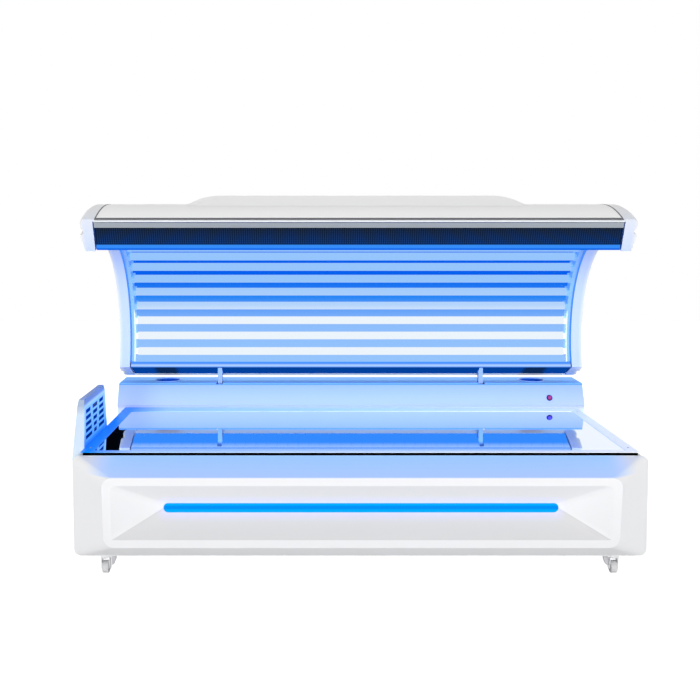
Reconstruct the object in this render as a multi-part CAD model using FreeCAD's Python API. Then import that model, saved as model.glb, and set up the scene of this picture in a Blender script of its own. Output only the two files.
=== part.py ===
import FreeCAD, Part
import math
import os

# Clamshell tanning bed. X runs along the bed, Y from the user's side to the hinge side, Z up, all in mm.
# Shapes are drawn with Y = 0 at the front border of the casing; save() moves them so that the origin
# is at the centre of the footprint, on the floor.

V = FreeCAD.Vector

# ---------------------------------------------------------------- overall sizes
casing_reach = 1174.0        # middle of the bulged casing ends
end_bulge = 24.0             # how far the ends bulge past their corners
bulge_front = 105.0          # stretch over which the ends reach their full bulge
bulge_back = 150.0
overall_depth = 1290.0       # front border to the back of the console
skirt_bottom = 88.5          # lower edge of the casing above the floor
casing_top = 488.0           # upper edge of the casing
casing_front = 135.0         # where the front panel meets the end shells
casing_inset = 20.0          # the casing's back stands in from the console's back
end_lean = 7.0               # the ends lean in towards the floor
end_corner = 28.0            # rounding of their lower edge
bevel_margin = 4.0           # the bevel of the casing's top starts outside the rim
bevel_slope = 0.85
shell_wall = 3.0
gap = 0.3                    # play between neighbouring pieces
shaft_play = 0.05            # radial play of a running fit

corner_reach = casing_reach - end_bulge
casing_back = overall_depth - casing_inset

# ---------------------------------------------------------------- front panel
border_margin = 145.0        # from the casing's corners to the raised border
border_foot = 61.5           # border's lower edge above the skirt
border_drop = 53.0           # border's upper edge below the casing's top
border_lean = 45.0           # how far the border's lower edge stands back
border_corner = 42.0
border_strip = 33.0          # width of the border band
recess_corner = 24.0
recess_depth = 67.0
panel_corner = 28.0          # corner radius where the panel meets the end shells
panel_wall = 4.0
led_margin = 227.0           # from the border's ends to the ends of the light bar
led_height = 37.5
led_rise = 135.0             # height of the light bar up the leaning border plane
led_lens_depth = 9.0
led_proud = 2.0
led_end_flat = 1.5           # flat left on the light bar's round ends

border_half = corner_reach - border_margin
border_low = skirt_bottom + border_foot
border_high = casing_top - border_drop
led_half = border_half - led_margin

# ---------------------------------------------------------------- console
console_depth = 260.0        # from the casing's back edge forward to the console's waist
console_height = 127.0       # console top above the casing
console_waist_height = 26.5
console_overhang = 6.0       # console ends stand past the casing's corners
console_face_lean = 45.0     # top edge behind the waist
console_foot_setback = 14.0
console_top_inset = 29.0
console_back_inset = 28.0
console_wall = 2.5
vent_margin = 231.0          # from the console's ends to the vents
vent_setback = 100.0         # from the console's upper front edge
vent_throat = 60.0
vent_flange = 7.5
vent_flange_thickness = 2.5
vent_collar_wall = 3.5
vent_collar_length = 19.0
vent_guard_drop = 12.0
vent_guard_rings = (14.0, 29.0, 44.0)
fan_size = 124.0
fan_thickness = 25.0
fan_hub_radius = 19.0
fan_shaft_radius = 2.5
fan_blades = 7
button_margin = 171.0        # from the console's right end
button_rise = 32.5           # above the waist
button_radius = 10.5
button_lip = 4.0
button_barrel_wall = 2.0
button_barrel_length = 26.0
button_travel = 4.0
button_play = 0.1
control_box_size = (300.0, 95.0, 70.0)
control_box_x = -100.0
control_box_setback = 57.0   # in from the console's back
control_fin_height = 12.0

console_half = corner_reach + console_overhang
console_top = casing_top + console_height
console_waist = casing_top + console_waist_height
console_front = overall_depth - console_depth
console_top_front = console_front + console_face_lean
console_foot_front = console_front + console_foot_setback
console_top_back = overall_depth - console_top_inset
console_foot_back = overall_depth - console_back_inset
vent_x = console_half - vent_margin
vent_y = console_top_front + vent_setback
vent_radius = vent_throat + vent_flange
button_x = console_half - button_margin
button_height = console_waist + button_rise

# ---------------------------------------------------------------- deck
lip_thickness = 3.0          # flanges of the casing that lie on the frame
rim_margin = 56.0            # rim in from the casing's ends
rim_end_width = 48.0
rim_front_lag = 5.0          # rim starts behind the front panel's upper edge
rim_front_width = 27.0
rim_back_overlap = 29.0      # rim runs under the console's front
rim_back_width = 110.0
rim_thickness = 3.0
lip_margin = 30.0            # flanges reach in under the rim
seal_margin = 10.0
seal_front_lag = 2.0
seal_back_margin = 31.0
seal_thickness = 4.0
seal_width = 28.0
acrylic_thickness = 6.0      # clamped edge of the sheet
acrylic_step = 1.0           # the sheet stands up inside the rim
deck_screw_margin = 23.0
deck_screw_front = 74.0
deck_screw_back = 115.0
deck_screw_radius = 2.5
deck_screw_head = 4.8
deck_screw_head_height = 1.6

rim_half = casing_reach - rim_margin
rim_front = casing_front + rim_front_lag
rim_back = console_front + rim_back_overlap
rim_opening_half = rim_half - rim_end_width
rim_opening_front = rim_front + rim_front_width
rim_opening_back = rim_back - rim_back_width
lip_inner = rim_half - lip_margin
bevel_top = rim_half + bevel_margin
seal_half = rim_half - seal_margin
seal_front = casing_front + seal_front_lag
seal_back = rim_back - seal_back_margin
deck_screw_x = rim_half - deck_screw_margin
deck_screw_ys = (rim_front + deck_screw_front, rim_back - deck_screw_back)

# ---------------------------------------------------------------- frame and floor pans
tube_size = 40.0
tube_wall = 2.0
frame_overlap = 12.0         # frame reaches under the flanges
frame_front_inset = 15.0
frame_back_inset = 15.0
caster_inset = 74.0          # caster rails in from the frame's ends
inner_post_x = 500.0
middle_rail_inset = 50.0     # from the rim's back edge
pan_thickness = 1.5
pan_margin = 40.0
bearer_drop = 16.0           # reflector bearers below the upper rails
panel_foot_overlap = 1.5     # front panel's lower flange under the frame

frame_half = lip_inner + frame_overlap
frame_front = casing_front + frame_front_inset
frame_back = casing_back - frame_back_inset
caster_rail_x = frame_half - caster_inset
middle_rail_y = rim_back - middle_rail_inset

# ---------------------------------------------------------------- power gland in the rear panel
gland_x = 800.0
gland_z = 250.0
gland_radius = 14.0
gland_bore = 8.5
gland_length = 30.0
gland_inside = 12.0
gland_flange = 5.0

# ---------------------------------------------------------------- lamps
lamp_radius = 19.0
lamp_glass = 1.0
lamp_cap_length = 15.0
lamp_spigot = 4.0
deck_lamp_margin = 100.0
deck_lamp_pitch = 64.0
deck_lamp_clear = 10.0
deck_lamp_lift = 32.0        # lamp axis above the deck reflector
holder_length = 25.0
holder_width = 30.0
reflector_thickness = 1.5
tray_play = 5.0
tray_height = 22.0
ballast_size = (230.0, 44.0, 38.0)
ballast_rows = 3
ballast_pitch = 210.0
ballast_setback = 180.0

deck_bay_front = frame_front + tube_size
deck_bay = middle_rail_y - deck_bay_front
deck_lamp_half = frame_half - deck_lamp_margin
deck_lamp_count = int((deck_bay - 2 * (lamp_radius + deck_lamp_clear)) / deck_lamp_pitch) + 1

# ---------------------------------------------------------------- fan tower on the left end
tower_front = 224.0
tower_depth_low = 426.0
tower_depth_high = 372.0
tower_height = 203.0
tower_clearance = 5.0        # tower stands outside the rim
tower_lean = 4.0             # over the greyed strip along its upper edge
tower_chamfer = 26.0
tower_nose_height = 24.0     # chamfer of the upper front edge
tower_nose_depth = 14.0
tower_slot_height = 18.5
tower_slot_pitch = 26.7
tower_slot_lift = 33.0       # lowest slots above the casing
tower_slot_margin = 12.0     # free below the chamfer
tower_slot_frame = 9.0
tower_columns_low = ((28.0, 149.0), (173.0, 233.0), (262.0, 379.0))
tower_columns_high = ((28.0, 117.0), (144.0, 242.0), (267.0, 353.0))
tower_fan_setback = 216.0
tower_fan_size = 110.0
tower_fan_thickness = 22.0

tower_inner = rim_half + tower_clearance
tower_inner_top = tower_inner + tower_lean
tower_top = casing_top + tower_height
tower_back_low = tower_front + tower_depth_low
tower_back_high = tower_front + tower_depth_high
tower_slot_base = casing_top + tower_slot_lift
tower_slot_room = tower_height - tower_chamfer - tower_slot_margin - tower_slot_height - tower_slot_lift
tower_slot_rows = int(tower_slot_room / tower_slot_pitch) + 1
tower_slot_rise = tower_slot_pitch * (tower_slot_rows - 1) + tower_slot_height
tower_fan_y = tower_front + tower_fan_setback

# ---------------------------------------------------------------- hinge
pivot_setback = 47.0         # behind the console's upper front edge
pivot_drop = 23.0            # below the console's top
arm_x = 655.0
arm_width = 22.0
arm_boss = 16.0
arm_saddle = 24.0
arm_slot_play = 5.0
arm_slot_back = 22.0
pin_radius = 8.0
pin_head = 3.0
pin_head_length = 4.0
bush_wall = 3.0
cheek_thickness = 5.0
cheek_play = 1.0
stop_bar_radius = 5.0
stop_bar_reach = 14.0
spring_wire = 2.0
spring_length = 66.0
bracket_foot = 5.0
bracket_foot_front = 28.0
bracket_foot_back = 52.0

pivot_y = console_top_front + pivot_setback
pivot_z = console_top - pivot_drop

# ---------------------------------------------------------------- canopy
inner_radius = 523.0         # clear acrylic, side towards the user
canopy_thickness = 147.0
rail_angle = 116.0           # the arc runs from the tail up and over to the front rail
tail_lip_angle = -14.2
tail_lip_lead = 76.98        # the tail's inner lip in front of the pivot
tail_lip_rise = 107.70       # and above it
tail_slope = 24.3            # slope of the tail face below the horizontal
tail_fold = 28.0             # folded edge of the shell under the tail
canopy_acrylic = 3.0
retainer_angle = 3.0
retainer_height = 27.0
retainer_depth = 27.0
lamp_circle_lift = 23.0      # lamp axes outside the clear sheet
canopy_lamp_margin = 52.0
canopy_lamp_lead = 8.6       # first lamp above the tail's lip
canopy_lamp_step = 8.15
canopy_lamp_end = 2.5
reflector_lift = 49.0
holder_strip_lift = 4.0
holder_strip_margin = 5.0
socket_half_angle = 1.6
socket_depth = 16.0
socket_length = 13.0
canopy_wall = 3.0
rib_thickness = 3.0
inner_rib_x = 560.0
frame_wall = 2.5
frame_tube_inset = 40.0      # front tube of the canopy frame, in from the outer radius
frame_tube_size = 40.0
tail_tube_radius = 16.0
tail_tube_inset = 70.0
tail_tube_lead = 4.2
cap_width = 53.0
cap_flange = 8.0
cap_flange_height = 10.0
cap_wall = 4.0
cap_swell = 3.0              # lower swelling of a cap past the corner
cap_groove_depth = 11.0
cap_groove_drop = 73.0       # lower edge of the groove, in from the outer radius
cap_groove_width = 30.0
cap_bevel_depth = 45.0       # bevel of the cap's lower front corner
shell_play = 3.0
cowl_half_low = 745.0
cowl_taper = 145.0
cowl_toe = 30.0
cowl_toe_height = 10.0
cowl_height = 38.0
cowl_wall = 3.0
cowl_angles = (34.0, 99.0)   # foot of the cowl at the back and at the front
cowl_crest_angles = (44.0, 91.0)
rail_inset = 5.0
rail_height = 38.0           # silver face of the front rail
rail_depth = 30.0
rail_foot_depth = 18.0
rail_top_inset = 4.3
bead_width = 6.0
bead_inset = 7.0             # bead's upper edge below the outer radius
bead_height = 5.0
grille_thickness = 6.7
grille_setback = 5.0
slot_lift = 45.0             # short slots near the grille's ends
slot_height = 5.0
slot_depth = 4.0
slot_margin = 30.0
slot_length = 54.0
tail_grille_margin = 29.0
slat_pitch = 53.0

outer_radius = inner_radius + canopy_thickness
canopy_y = pivot_y - tail_lip_lead - inner_radius * math.cos(math.radians(tail_lip_angle))
canopy_z = pivot_z + tail_lip_rise - inner_radius * math.sin(math.radians(tail_lip_angle))
cap_inner = corner_reach - cap_width
cap_flange_inner = cap_inner - cap_flange
canopy_shell_half = cap_flange_inner - shell_play
rail_half = cap_inner - rail_inset
outer_rib_x = cap_flange_inner - gap - rib_thickness / 2
rib_xs = (-outer_rib_x, -inner_rib_x, 0.0, inner_rib_x, outer_rib_x)
canopy_lamp_half = cap_inner - canopy_lamp_margin
canopy_lamp_circle = inner_radius + lamp_circle_lift
canopy_lamp_first = tail_lip_angle + canopy_lamp_lead
canopy_lamp_span = rail_angle - retainer_angle - canopy_lamp_end - canopy_lamp_first
canopy_lamp_count = int(canopy_lamp_span / canopy_lamp_step) + 1
reflector_radius = inner_radius + reflector_lift
tail_tube_circle = outer_radius - tail_tube_inset
tail_tube_angle = tail_lip_angle + tail_tube_lead
cowl_half_high = cowl_half_low - cowl_taper
rail_low = outer_radius - rail_height
rail_high = outer_radius - rail_top_inset

# ---------------------------------------------------------------- casters
caster_front_setback = 33.0
caster_back_inset = 75.0
wheel_radius = 25.0
wheel_width = 26.0
wheel_play = 1.0
caster_trail = 10.0
caster_plate = 62.0
caster_plate_thickness = 3.5
caster_boss_radius = 14.0
caster_boss_drop = 11.0
caster_pin_radius = 5.0
caster_pin_head = 3.0
axle_radius = 4.0
axle_head = 2.0
fork_leg = 4.0
fork_bridge = 11.0
brake_drop = 6.0
brake_offset = 6.0
brake_pin_radius = 2.0
brake_width = 17.4

caster_ys = (frame_front + caster_front_setback, frame_back - caster_back_inset)


# ================================================================ helpers
def save(node, *pieces):
    shape = Part.makeCompound([p.copy() for p in pieces]) if len(pieces) > 1 else pieces[0].copy()
    shape.translate(V(0, -overall_depth / 2, 0))
    shape.exportStep("parts/" + node + ".step")


def block(x0, x1, y0, y1, z0, z1):
    return Part.makeBox(x1 - x0, y1 - y0, z1 - z0, V(x0, y0, z0))


def bar_x(y, z, radius, x0, x1):
    return Part.makeCylinder(radius, x1 - x0, V(x0, y, z), V(1, 0, 0))


def bar_z(x, y, radius, z0, z1):
    return Part.makeCylinder(radius, z1 - z0, V(x, y, z0))


def mirrored(shape):
    return shape.mirror(V(0, 0, 0), V(1, 0, 0))


def polygon_face(points):
    return Part.Face(Part.makePolygon(points + [points[0]]))


def prism_x(points, x0, x1):
    return polygon_face([V(x0, y, z) for y, z in points]).extrude(V(x1 - x0, 0, 0))


def prism_y(points, y0, y1):
    return polygon_face([V(x, y0, z) for x, z in points]).extrude(V(0, y1 - y0, 0))


def inset(points, walls):
    # moves each edge of a counter-clockwise polygon inwards by its own wall
    moved = []
    for index, point in enumerate(points):
        following = points[(index + 1) % len(points)]
        along = V(following[0] - point[0], following[1] - point[1], 0).normalize()
        moved.append((V(point[0] - along.y * walls[index], point[1] + along.x * walls[index], 0), along))
    corners = []
    for index in range(len(points)):
        start_a, dir_a = moved[index - 1]
        start_b, dir_b = moved[index]
        cross = dir_a.x * dir_b.y - dir_a.y * dir_b.x
        reach = ((start_b.x - start_a.x) * dir_b.y - (start_b.y - start_a.y) * dir_b.x) / cross
        corners.append((start_a.x + dir_a.x * reach, start_a.y + dir_a.y * reach))
    return corners


def fused(pieces):
    return pieces[0].multiFuse(pieces[1:]).removeSplitter() if len(pieces) > 1 else pieces[0]


def cut_all(shape, tools):
    for tool in tools:
        shape = shape.cut(tool)
    return shape


# ================================================================ front panel
lean_run = border_high - border_low
lean_length = math.hypot(lean_run, border_lean)
panel_up = V(0, -border_lean / lean_length, lean_run / lean_length)
panel_in = V(0, lean_run / lean_length, border_lean / lean_length)


def panel_point(across, up, depth):
    return V(across, border_lean, border_low) + panel_up * up + panel_in * depth


def upright_point(across, up, depth):
    return V(across, depth, up)


def rounded_wire(place, half, low, high, radius, depth, taper=0.0):
    # rounded outline, narrower at its lower edge by the taper on each side
    lean = radius * (1 - math.sqrt(0.5))
    foot = half - taper

    def at(across, up):
        return place(across, up, depth)

    def line(a, b):
        return Part.LineSegment(at(*a), at(*b)).toShape()

    def arc(a, b, c):
        return Part.Arc(at(*a), at(*b), at(*c)).toShape()

    return Part.Wire([
        line((radius - foot, low), (foot - radius, low)),
        arc((foot - radius, low), (foot - lean, low + lean), (foot, low + radius)),
        line((foot, low + radius), (half, high - radius)),
        arc((half, high - radius), (half - lean, high - lean), (half - radius, high)),
        line((half - radius, high), (radius - half, high)),
        arc((radius - half, high), (lean - half, high - lean), (-half, high - radius)),
        line((-half, high - radius), (-foot, low + radius)),
        arc((-foot, low + radius), (lean - foot, low + lean), (radius - foot, low)),
    ])


def panel_body(wall):
    front = rounded_wire(panel_point, border_half - wall, wall, lean_length - wall,
                         border_corner - wall, wall)
    back = rounded_wire(upright_point, corner_reach - wall, skirt_bottom + wall, casing_top - wall,
                        panel_corner - wall, casing_front, end_lean)
    return Part.makeLoft([front, back], True, True)


def recess_body():
    # four sloping faces from the border down to the light bar
    mouth = rounded_wire(panel_point, border_half - border_strip, border_strip,
                         lean_length - border_strip, recess_corner, 0)
    half = led_height / 2
    floor = rounded_wire(panel_point, led_half, led_rise - half, led_rise + half,
                         half - led_end_flat / 2, recess_depth)
    return Part.makeLoft([mouth, floor], True, True)


def led_slot(margin, front, back):
    half = led_height / 2 + margin
    wires = [rounded_wire(panel_point, led_half + margin, led_rise - half, led_rise + half,
                          half - led_end_flat / 2, recess_depth + depth) for depth in (front, back)]
    return Part.makeLoft(wires, True, True)


def front_panel():
    recess = recess_body()
    wall_side = recess.copy()
    wall_side.translate(panel_in * panel_wall)
    panel = panel_body(0).cut(recess).cut(panel_body(panel_wall).cut(wall_side))
    panel = panel.cut(led_slot(gap, -panel_wall, 2 * panel_wall))
    top_lip = block(-lip_inner, lip_inner, casing_front - panel_wall, frame_front + tube_size / 2,
                    casing_top - lip_thickness, casing_top)
    foot_lip = block(-lip_inner, lip_inner, casing_front - panel_wall, frame_front + panel_foot_overlap,
                     skirt_bottom, pan_bottom)
    return fused([panel, top_lip, foot_lip])


def led_lens():
    return led_slot(0, -led_proud, led_lens_depth - led_proud)


def led_channel():
    # aluminium channel behind the lens, closed round it, with the light strip on its floor
    outer = led_slot(6.0, panel_wall, panel_wall + 18.0)
    inner = led_slot(2.0, panel_wall, panel_wall + 12.0)
    strip = led_slot(-8.0, panel_wall + 10.0, panel_wall + 12.0)
    return outer.cut(inner).fuse(strip)


# ================================================================ end shells, pans, frame
pan_bottom = skirt_bottom + 2.0
frame_bottom = pan_bottom + pan_thickness
rail_top = casing_top - lip_thickness
rail_bottom = rail_top - tube_size


def end_reach(y):
    share = min(1.0, (y - casing_front) / bulge_front, (casing_back - y) / bulge_back)
    smooth = share * share * (3 - 2 * share)
    return corner_reach + end_bulge * smooth


def bevel_height(x):
    return casing_top - (x - bevel_top) * bevel_slope


def end_section(y):
    reach = end_reach(y)
    centre_x = reach - end_lean - end_corner
    centre_z = skirt_bottom + end_corner

    def rounding(wall, turns):
        radius = end_corner - wall
        return [(centre_x + radius * math.cos(math.radians(turn)),
                 centre_z - radius * math.sin(math.radians(turn))) for turn in turns]

    outside = [(lip_inner, skirt_bottom)] + rounding(0, (90, 60, 30, 0)) + [
        (reach, bevel_height(reach)), (bevel_top, casing_top), (lip_inner, casing_top)]
    inside = [(lip_inner, rail_top), (bevel_top - shell_wall, rail_top),
              (reach - shell_wall, bevel_height(reach) - shell_wall)] + rounding(
                  shell_wall, (0, 30, 60)) + [(centre_x, pan_bottom), (lip_inner, pan_bottom)]
    outline = outside + inside
    return Part.makePolygon([V(x, y, z) for x, z in outline + outline[:1]])


def end_shell():
    front_steps = (0.0, 0.17, 0.34, 0.51, 0.74, 1.0)
    stations = ([casing_front + bulge_front * step for step in front_steps]
                + [casing_back - bulge_back * step for step in (1.0, 0.75, 0.5, 0.25, 0.0)])
    spans = [Part.makeLoft([end_section(a), end_section(b)], True, True)
             for a, b in zip(stations, stations[1:])]
    shell = fused(spans)
    return cut_all(shell, deck_screw_holes())


def square_tube(x0, x1, y0, y1, z0, z1):
    sides = (x1 - x0, y1 - y0, z1 - z0)
    inner = [tube_wall if side < max(sides) else 0 for side in sides]
    return block(x0, x1, y0, y1, z0, z1).cut(
        block(x0 + inner[0], x1 - inner[0], y0 + inner[1], y1 - inner[1], z0 + inner[2], z1 - inner[2]))


def chassis():
    half = tube_size / 2
    low, high = frame_bottom, frame_bottom + tube_size
    rear = frame_back - tube_size
    pieces = []
    for y in (frame_front, rear):
        pieces.append(square_tube(-frame_half, frame_half, y, y + tube_size, low, high))
    for y in (frame_front, middle_rail_y, rear):
        pieces.append(square_tube(-frame_half, frame_half, y, y + tube_size, rail_bottom, rail_top))
    after_front = frame_front + tube_size
    for side in (-1, 1):
        for x in (side * caster_rail_x, side * inner_post_x):
            pieces.append(square_tube(x - half, x + half, after_front, rear, low, high))
        corner = side * (frame_half - half)
        for y in (frame_front, rear):
            pieces.append(square_tube(corner - half, corner + half, y, y + tube_size, high, rail_bottom))
        for x in (corner, side * arm_x):
            pieces.append(square_tube(x - half, x + half, middle_rail_y + tube_size, rear,
                                      rail_bottom, rail_top))
        pieces.append(square_tube(corner - half, corner + half, after_front, middle_rail_y,
                                  rail_bottom, rail_top))
        x = side * inner_post_x
        for y in (frame_front, middle_rail_y):
            pieces.append(square_tube(x - half, x + half, y, y + tube_size, high, rail_bottom))
        bearer_top = rail_bottom - bearer_drop
        pieces.append(square_tube(x - half, x + half, after_front, middle_rail_y,
                                  bearer_top - tube_size, bearer_top))
    return cut_all(fused(pieces), deck_screw_holes())


def belly_pan():
    return block(-corner_reach + pan_margin, corner_reach - pan_margin, frame_front - 12, frame_back,
                 pan_bottom, frame_bottom)


def rear_panel():
    high, shoulder = rail_top - gap, casing_top - 28.0
    foot = corner_reach - end_lean - 4.0
    half = [(foot - end_corner, pan_bottom), (foot, pan_bottom + end_corner),
            (corner_reach - 6, shoulder), (rim_half - 1, high)]
    outline = half + [(-x, z) for x, z in half[::-1]]
    return prism_y(outline, frame_back, frame_back + shell_wall).cut(gland_body(gap))


def gland_body(play):
    start = V(gland_x, frame_back - gland_inside, gland_z)
    return Part.makeCylinder(gland_radius + play, gland_length, start, V(0, 1, 0))


def power_gland():
    start = V(gland_x, frame_back - gland_inside, gland_z)
    flange = Part.makeCylinder(gland_radius + gland_flange, gland_flange,
                               V(gland_x, frame_back + shell_wall, gland_z), V(0, 1, 0))
    bore = Part.makeCylinder(gland_bore, gland_length, start, V(0, 1, 0))
    return gland_body(0).fuse(flange).cut(bore).removeSplitter()


# ================================================================ deck
acrylic_bottom = casing_top + seal_thickness
acrylic_top = acrylic_bottom + acrylic_thickness
rim_top = acrylic_top + rim_thickness


def deck_screw_places():
    return [(side * deck_screw_x, y) for side in (-1, 1) for y in deck_screw_ys]


def deck_screw_holes():
    return [bar_z(x, y, deck_screw_radius + 0.1, rail_top - tube_wall - 1, rim_top + 1)
            for x, y in deck_screw_places()]


def deck_screws():
    screws = []
    for x, y in deck_screw_places():
        shank = bar_z(x, y, deck_screw_radius, rail_top - tube_wall - 6, rim_top)
        head = Part.makeCone(deck_screw_head, deck_screw_head * 0.7, deck_screw_head_height, V(x, y, rim_top))
        screws.append(fused([shank, head]))
    return screws


def deck_seal():
    outer = block(-seal_half, seal_half, seal_front, seal_back, casing_top, acrylic_top - gap)
    rebate = block(-seal_half + seal_thickness, seal_half - seal_thickness,
                   seal_front + seal_thickness, seal_back - seal_thickness, acrylic_bottom, acrylic_top)
    opening = block(-seal_half + seal_width, seal_half - seal_width,
                    seal_front + seal_width, seal_back - seal_width, casing_top, acrylic_top)
    return cut_all(outer.cut(rebate).cut(opening), deck_screw_holes())


def deck_acrylic():
    edge = seal_thickness + gap
    sheet = block(-seal_half + edge, seal_half - edge, seal_front + edge, seal_back - edge,
                  acrylic_bottom, acrylic_top)
    middle = block(-rim_opening_half + gap, rim_opening_half - gap, rim_opening_front + gap,
                   rim_opening_back - gap, acrylic_bottom, acrylic_top + acrylic_step)
    return cut_all(fused([sheet, middle]), deck_screw_holes())


def deck_rim():
    rim = block(-rim_half, rim_half, rim_front, rim_back, acrylic_top, rim_top)
    rim = rim.cut(block(-rim_opening_half, rim_opening_half, rim_opening_front, rim_opening_back,
                        acrylic_top, rim_top))
    return cut_all(rim, deck_screw_holes())


reflector_top = rail_bottom - bearer_drop + reflector_thickness


def deck_reflector():
    half = frame_half - tube_size - tray_play
    front = deck_bay_front + tray_play
    back = middle_rail_y - tray_play
    wall = reflector_thickness
    tray = block(-half, half, front, back, reflector_top - wall, reflector_top + tray_height)
    return tray.cut(block(-half + wall, half - wall, front + wall, back - wall,
                          reflector_top, reflector_top + tray_height))


def deck_lamp_ys():
    middle = (deck_bay_front + middle_rail_y) / 2
    first = middle - deck_lamp_pitch * (deck_lamp_count - 1) / 2
    return [first + deck_lamp_pitch * index for index in range(deck_lamp_count)]


def lamp_tubes(places, half):
    return [bar_x(y, z, lamp_radius, -half, half).cut(bar_x(y, z, lamp_radius - lamp_glass, -half, half))
            for y, z in places]


def lamp_caps(places, half):
    # metal caps closing the glass, their spigots inside it
    caps = []
    for y, z in places:
        cap = fused([bar_x(y, z, lamp_radius, half, half + lamp_cap_length),
                     bar_x(y, z, lamp_radius - lamp_glass, half - lamp_spigot, half)])
        caps += [cap, mirrored(cap)]
    return caps


def deck_lamp_places():
    return [(y, reflector_top + deck_lamp_lift) for y in deck_lamp_ys()]


def deck_lamp_holders():
    pieces = []
    start = deck_lamp_half + lamp_cap_length
    for y in deck_lamp_ys():
        holder = block(start, start + holder_length, y - holder_width / 2, y + holder_width / 2,
                       reflector_top, reflector_top + deck_lamp_lift + lamp_radius)
        pieces += [holder, mirrored(holder)]
    return pieces


def ballasts():
    # in the bays between the lower rails
    length, width, height = ballast_size
    outer_x = (inner_post_x + caster_rail_x) / 2
    pieces = []
    for x in (-outer_x, -inner_post_x / 2, inner_post_x / 2, outer_x):
        for row in range(ballast_rows):
            y = frame_front + ballast_setback + row * ballast_pitch
            pieces.append(block(x - length / 2, x + length / 2, y - width / 2, y + width / 2,
                                frame_bottom, frame_bottom + height))
    return pieces


# ================================================================ console
console_floor_top = casing_top + console_wall
console_base = console_floor_top + gap
console_outline = [
    (console_foot_front, console_base), (console_foot_back, console_base),
    (overall_depth, console_waist), (console_top_back, console_top),
    (console_top_front, console_top), (console_front, console_waist)]
face_run = console_top_front - console_front
face_rise = console_top - console_waist
face_length = math.hypot(face_run, face_rise)
button_in = V(0, face_rise / face_length, -face_run / face_length)
button_y = console_front + face_run * (button_height - console_waist) / face_rise
button_centre = V(button_x, button_y, button_height)


def console_shell():
    walls = [-40.0] + [console_wall] * 5
    shell = prism_x(console_outline, -console_half, console_half).cut(
        prism_x(inset(console_outline, walls), -console_half + console_wall, console_half - console_wall))
    slot_half = arm_width / 2 + arm_slot_play
    tools = []
    for side in (-1, 1):
        tools.append(bar_z(side * vent_x, vent_y, vent_throat + vent_collar_wall + 0.5,
                           console_top - 10, console_top + 10))
        x = side * arm_x
        tools.append(block(x - slot_half, x + slot_half, console_top_front - 2, pivot_y + arm_slot_back,
                           console_top - 15, console_top + 5))
    rim_clear = rim_half + 1.3
    tools.append(block(-rim_clear, rim_clear, console_front, rim_back + 1.3, console_base, rim_top + gap))
    hole = button_radius + button_barrel_wall + gap
    tools.append(Part.makeCylinder(hole, 20, button_centre - button_in * 10, button_in))
    # at the ends the shell reaches down over the casing's bevel
    near = bevel_top + 1.0
    play = gap * 1.5
    skirt = prism_y([(near, bevel_height(near) + play), (console_half, bevel_height(console_half) + play),
                     (console_half, console_base + console_wall), (near, console_base + console_wall)],
                    console_foot_front, console_foot_back)
    return fused([cut_all(shell, tools), skirt, mirrored(skirt)])


def console_floor():
    # plate over the flanges of the end shells, with a doubler that lies on the frame between them
    plate = block(-bevel_top, bevel_top, rim_back + 1, console_foot_back + 2, casing_top, console_floor_top)
    doubler = block(-lip_inner + gap, lip_inner - gap, seal_back - seal_width, frame_back,
                    rail_top, casing_top)
    return fused([plate, doubler])


def console_vent(side):
    x = side * vent_x
    flange = bar_z(x, vent_y, vent_radius, console_top, console_top + vent_flange_thickness)
    collar = bar_z(x, vent_y, vent_throat + vent_collar_wall, console_top - vent_collar_length, console_top)
    throat = bar_z(x, vent_y, vent_throat, console_top - vent_collar_length - 1,
                   console_top + vent_flange_thickness + 1)
    body = fused([flange, collar]).cut(throat)
    low = console_top - vent_guard_drop
    rings = []
    for radius in vent_guard_rings:
        hole = bar_z(x, vent_y, radius - 1, low, low + 3)
        rings.append(bar_z(x, vent_y, radius + 2, low, low + 3).cut(hole))
    spokes = [block(-vent_throat - 1, vent_throat + 1, -1.5, 1.5, low, low + 3) for _ in range(3)]
    for index, spoke in enumerate(spokes):
        spoke.rotate(V(0, 0, 0), V(0, 0, 1), 60 * index)
        spoke.translate(V(x, vent_y, 0))
    return fused([body] + rings + spokes)


def fan_frame(size, thickness):
    # square fan housing about the origin, open from 0 to its thickness, motor stub and shaft on struts
    half = size / 2
    frame = block(-half, half, -half, half, 0, thickness).cut(bar_z(0, 0, half - 3.0, -1, thickness + 1))
    parts = [frame, bar_z(0, 0, fan_hub_radius, 0, 3.0), bar_z(0, 0, fan_shaft_radius, 0, thickness - 2)]
    for angle in (0, 90):
        strut = block(-half + 1, half - 1, -3, 3, 0, 3.0)
        strut.rotate(V(0, 0, 0), V(0, 0, 1), angle + 45)
        parts.append(strut)
    return fused(parts)


def fan_rotor(size, thickness):
    tip = size / 2 - 5.0
    depth = thickness - 8.0
    parts = [bar_z(0, 0, fan_hub_radius, 4.0, 4.0 + depth)]
    for index in range(fan_blades):
        blade = block(fan_hub_radius - 1.5, tip, -depth / 2, depth / 2, -0.9, 0.9)
        blade.rotate(V(0, 0, 0), V(1, 0, 0), 42)
        blade.translate(V(0, 0, 4.0 + depth / 2))
        blade.rotate(V(0, 0, 0), V(0, 0, 1), 360.0 * index / fan_blades)
        parts.append(blade)
    return fused(parts).cut(bar_z(0, 0, fan_shaft_radius + shaft_play, 0, thickness + 5))


def console_fan_piece(shape, side):
    shape.translate(V(side * vent_x, vent_y, console_top - vent_collar_length - fan_thickness))
    return shape


def along_button(radius, start, end):
    return Part.makeCylinder(radius, end - start, button_centre + button_in * start, button_in)


def stop_button_collar():
    body = fused([along_button(button_radius + button_lip, -4.0, 0),
                  along_button(button_radius + button_barrel_wall, 0, button_barrel_length)])
    return body.cut(along_button(button_radius + button_play, -4.0, button_barrel_length - 3))


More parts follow.
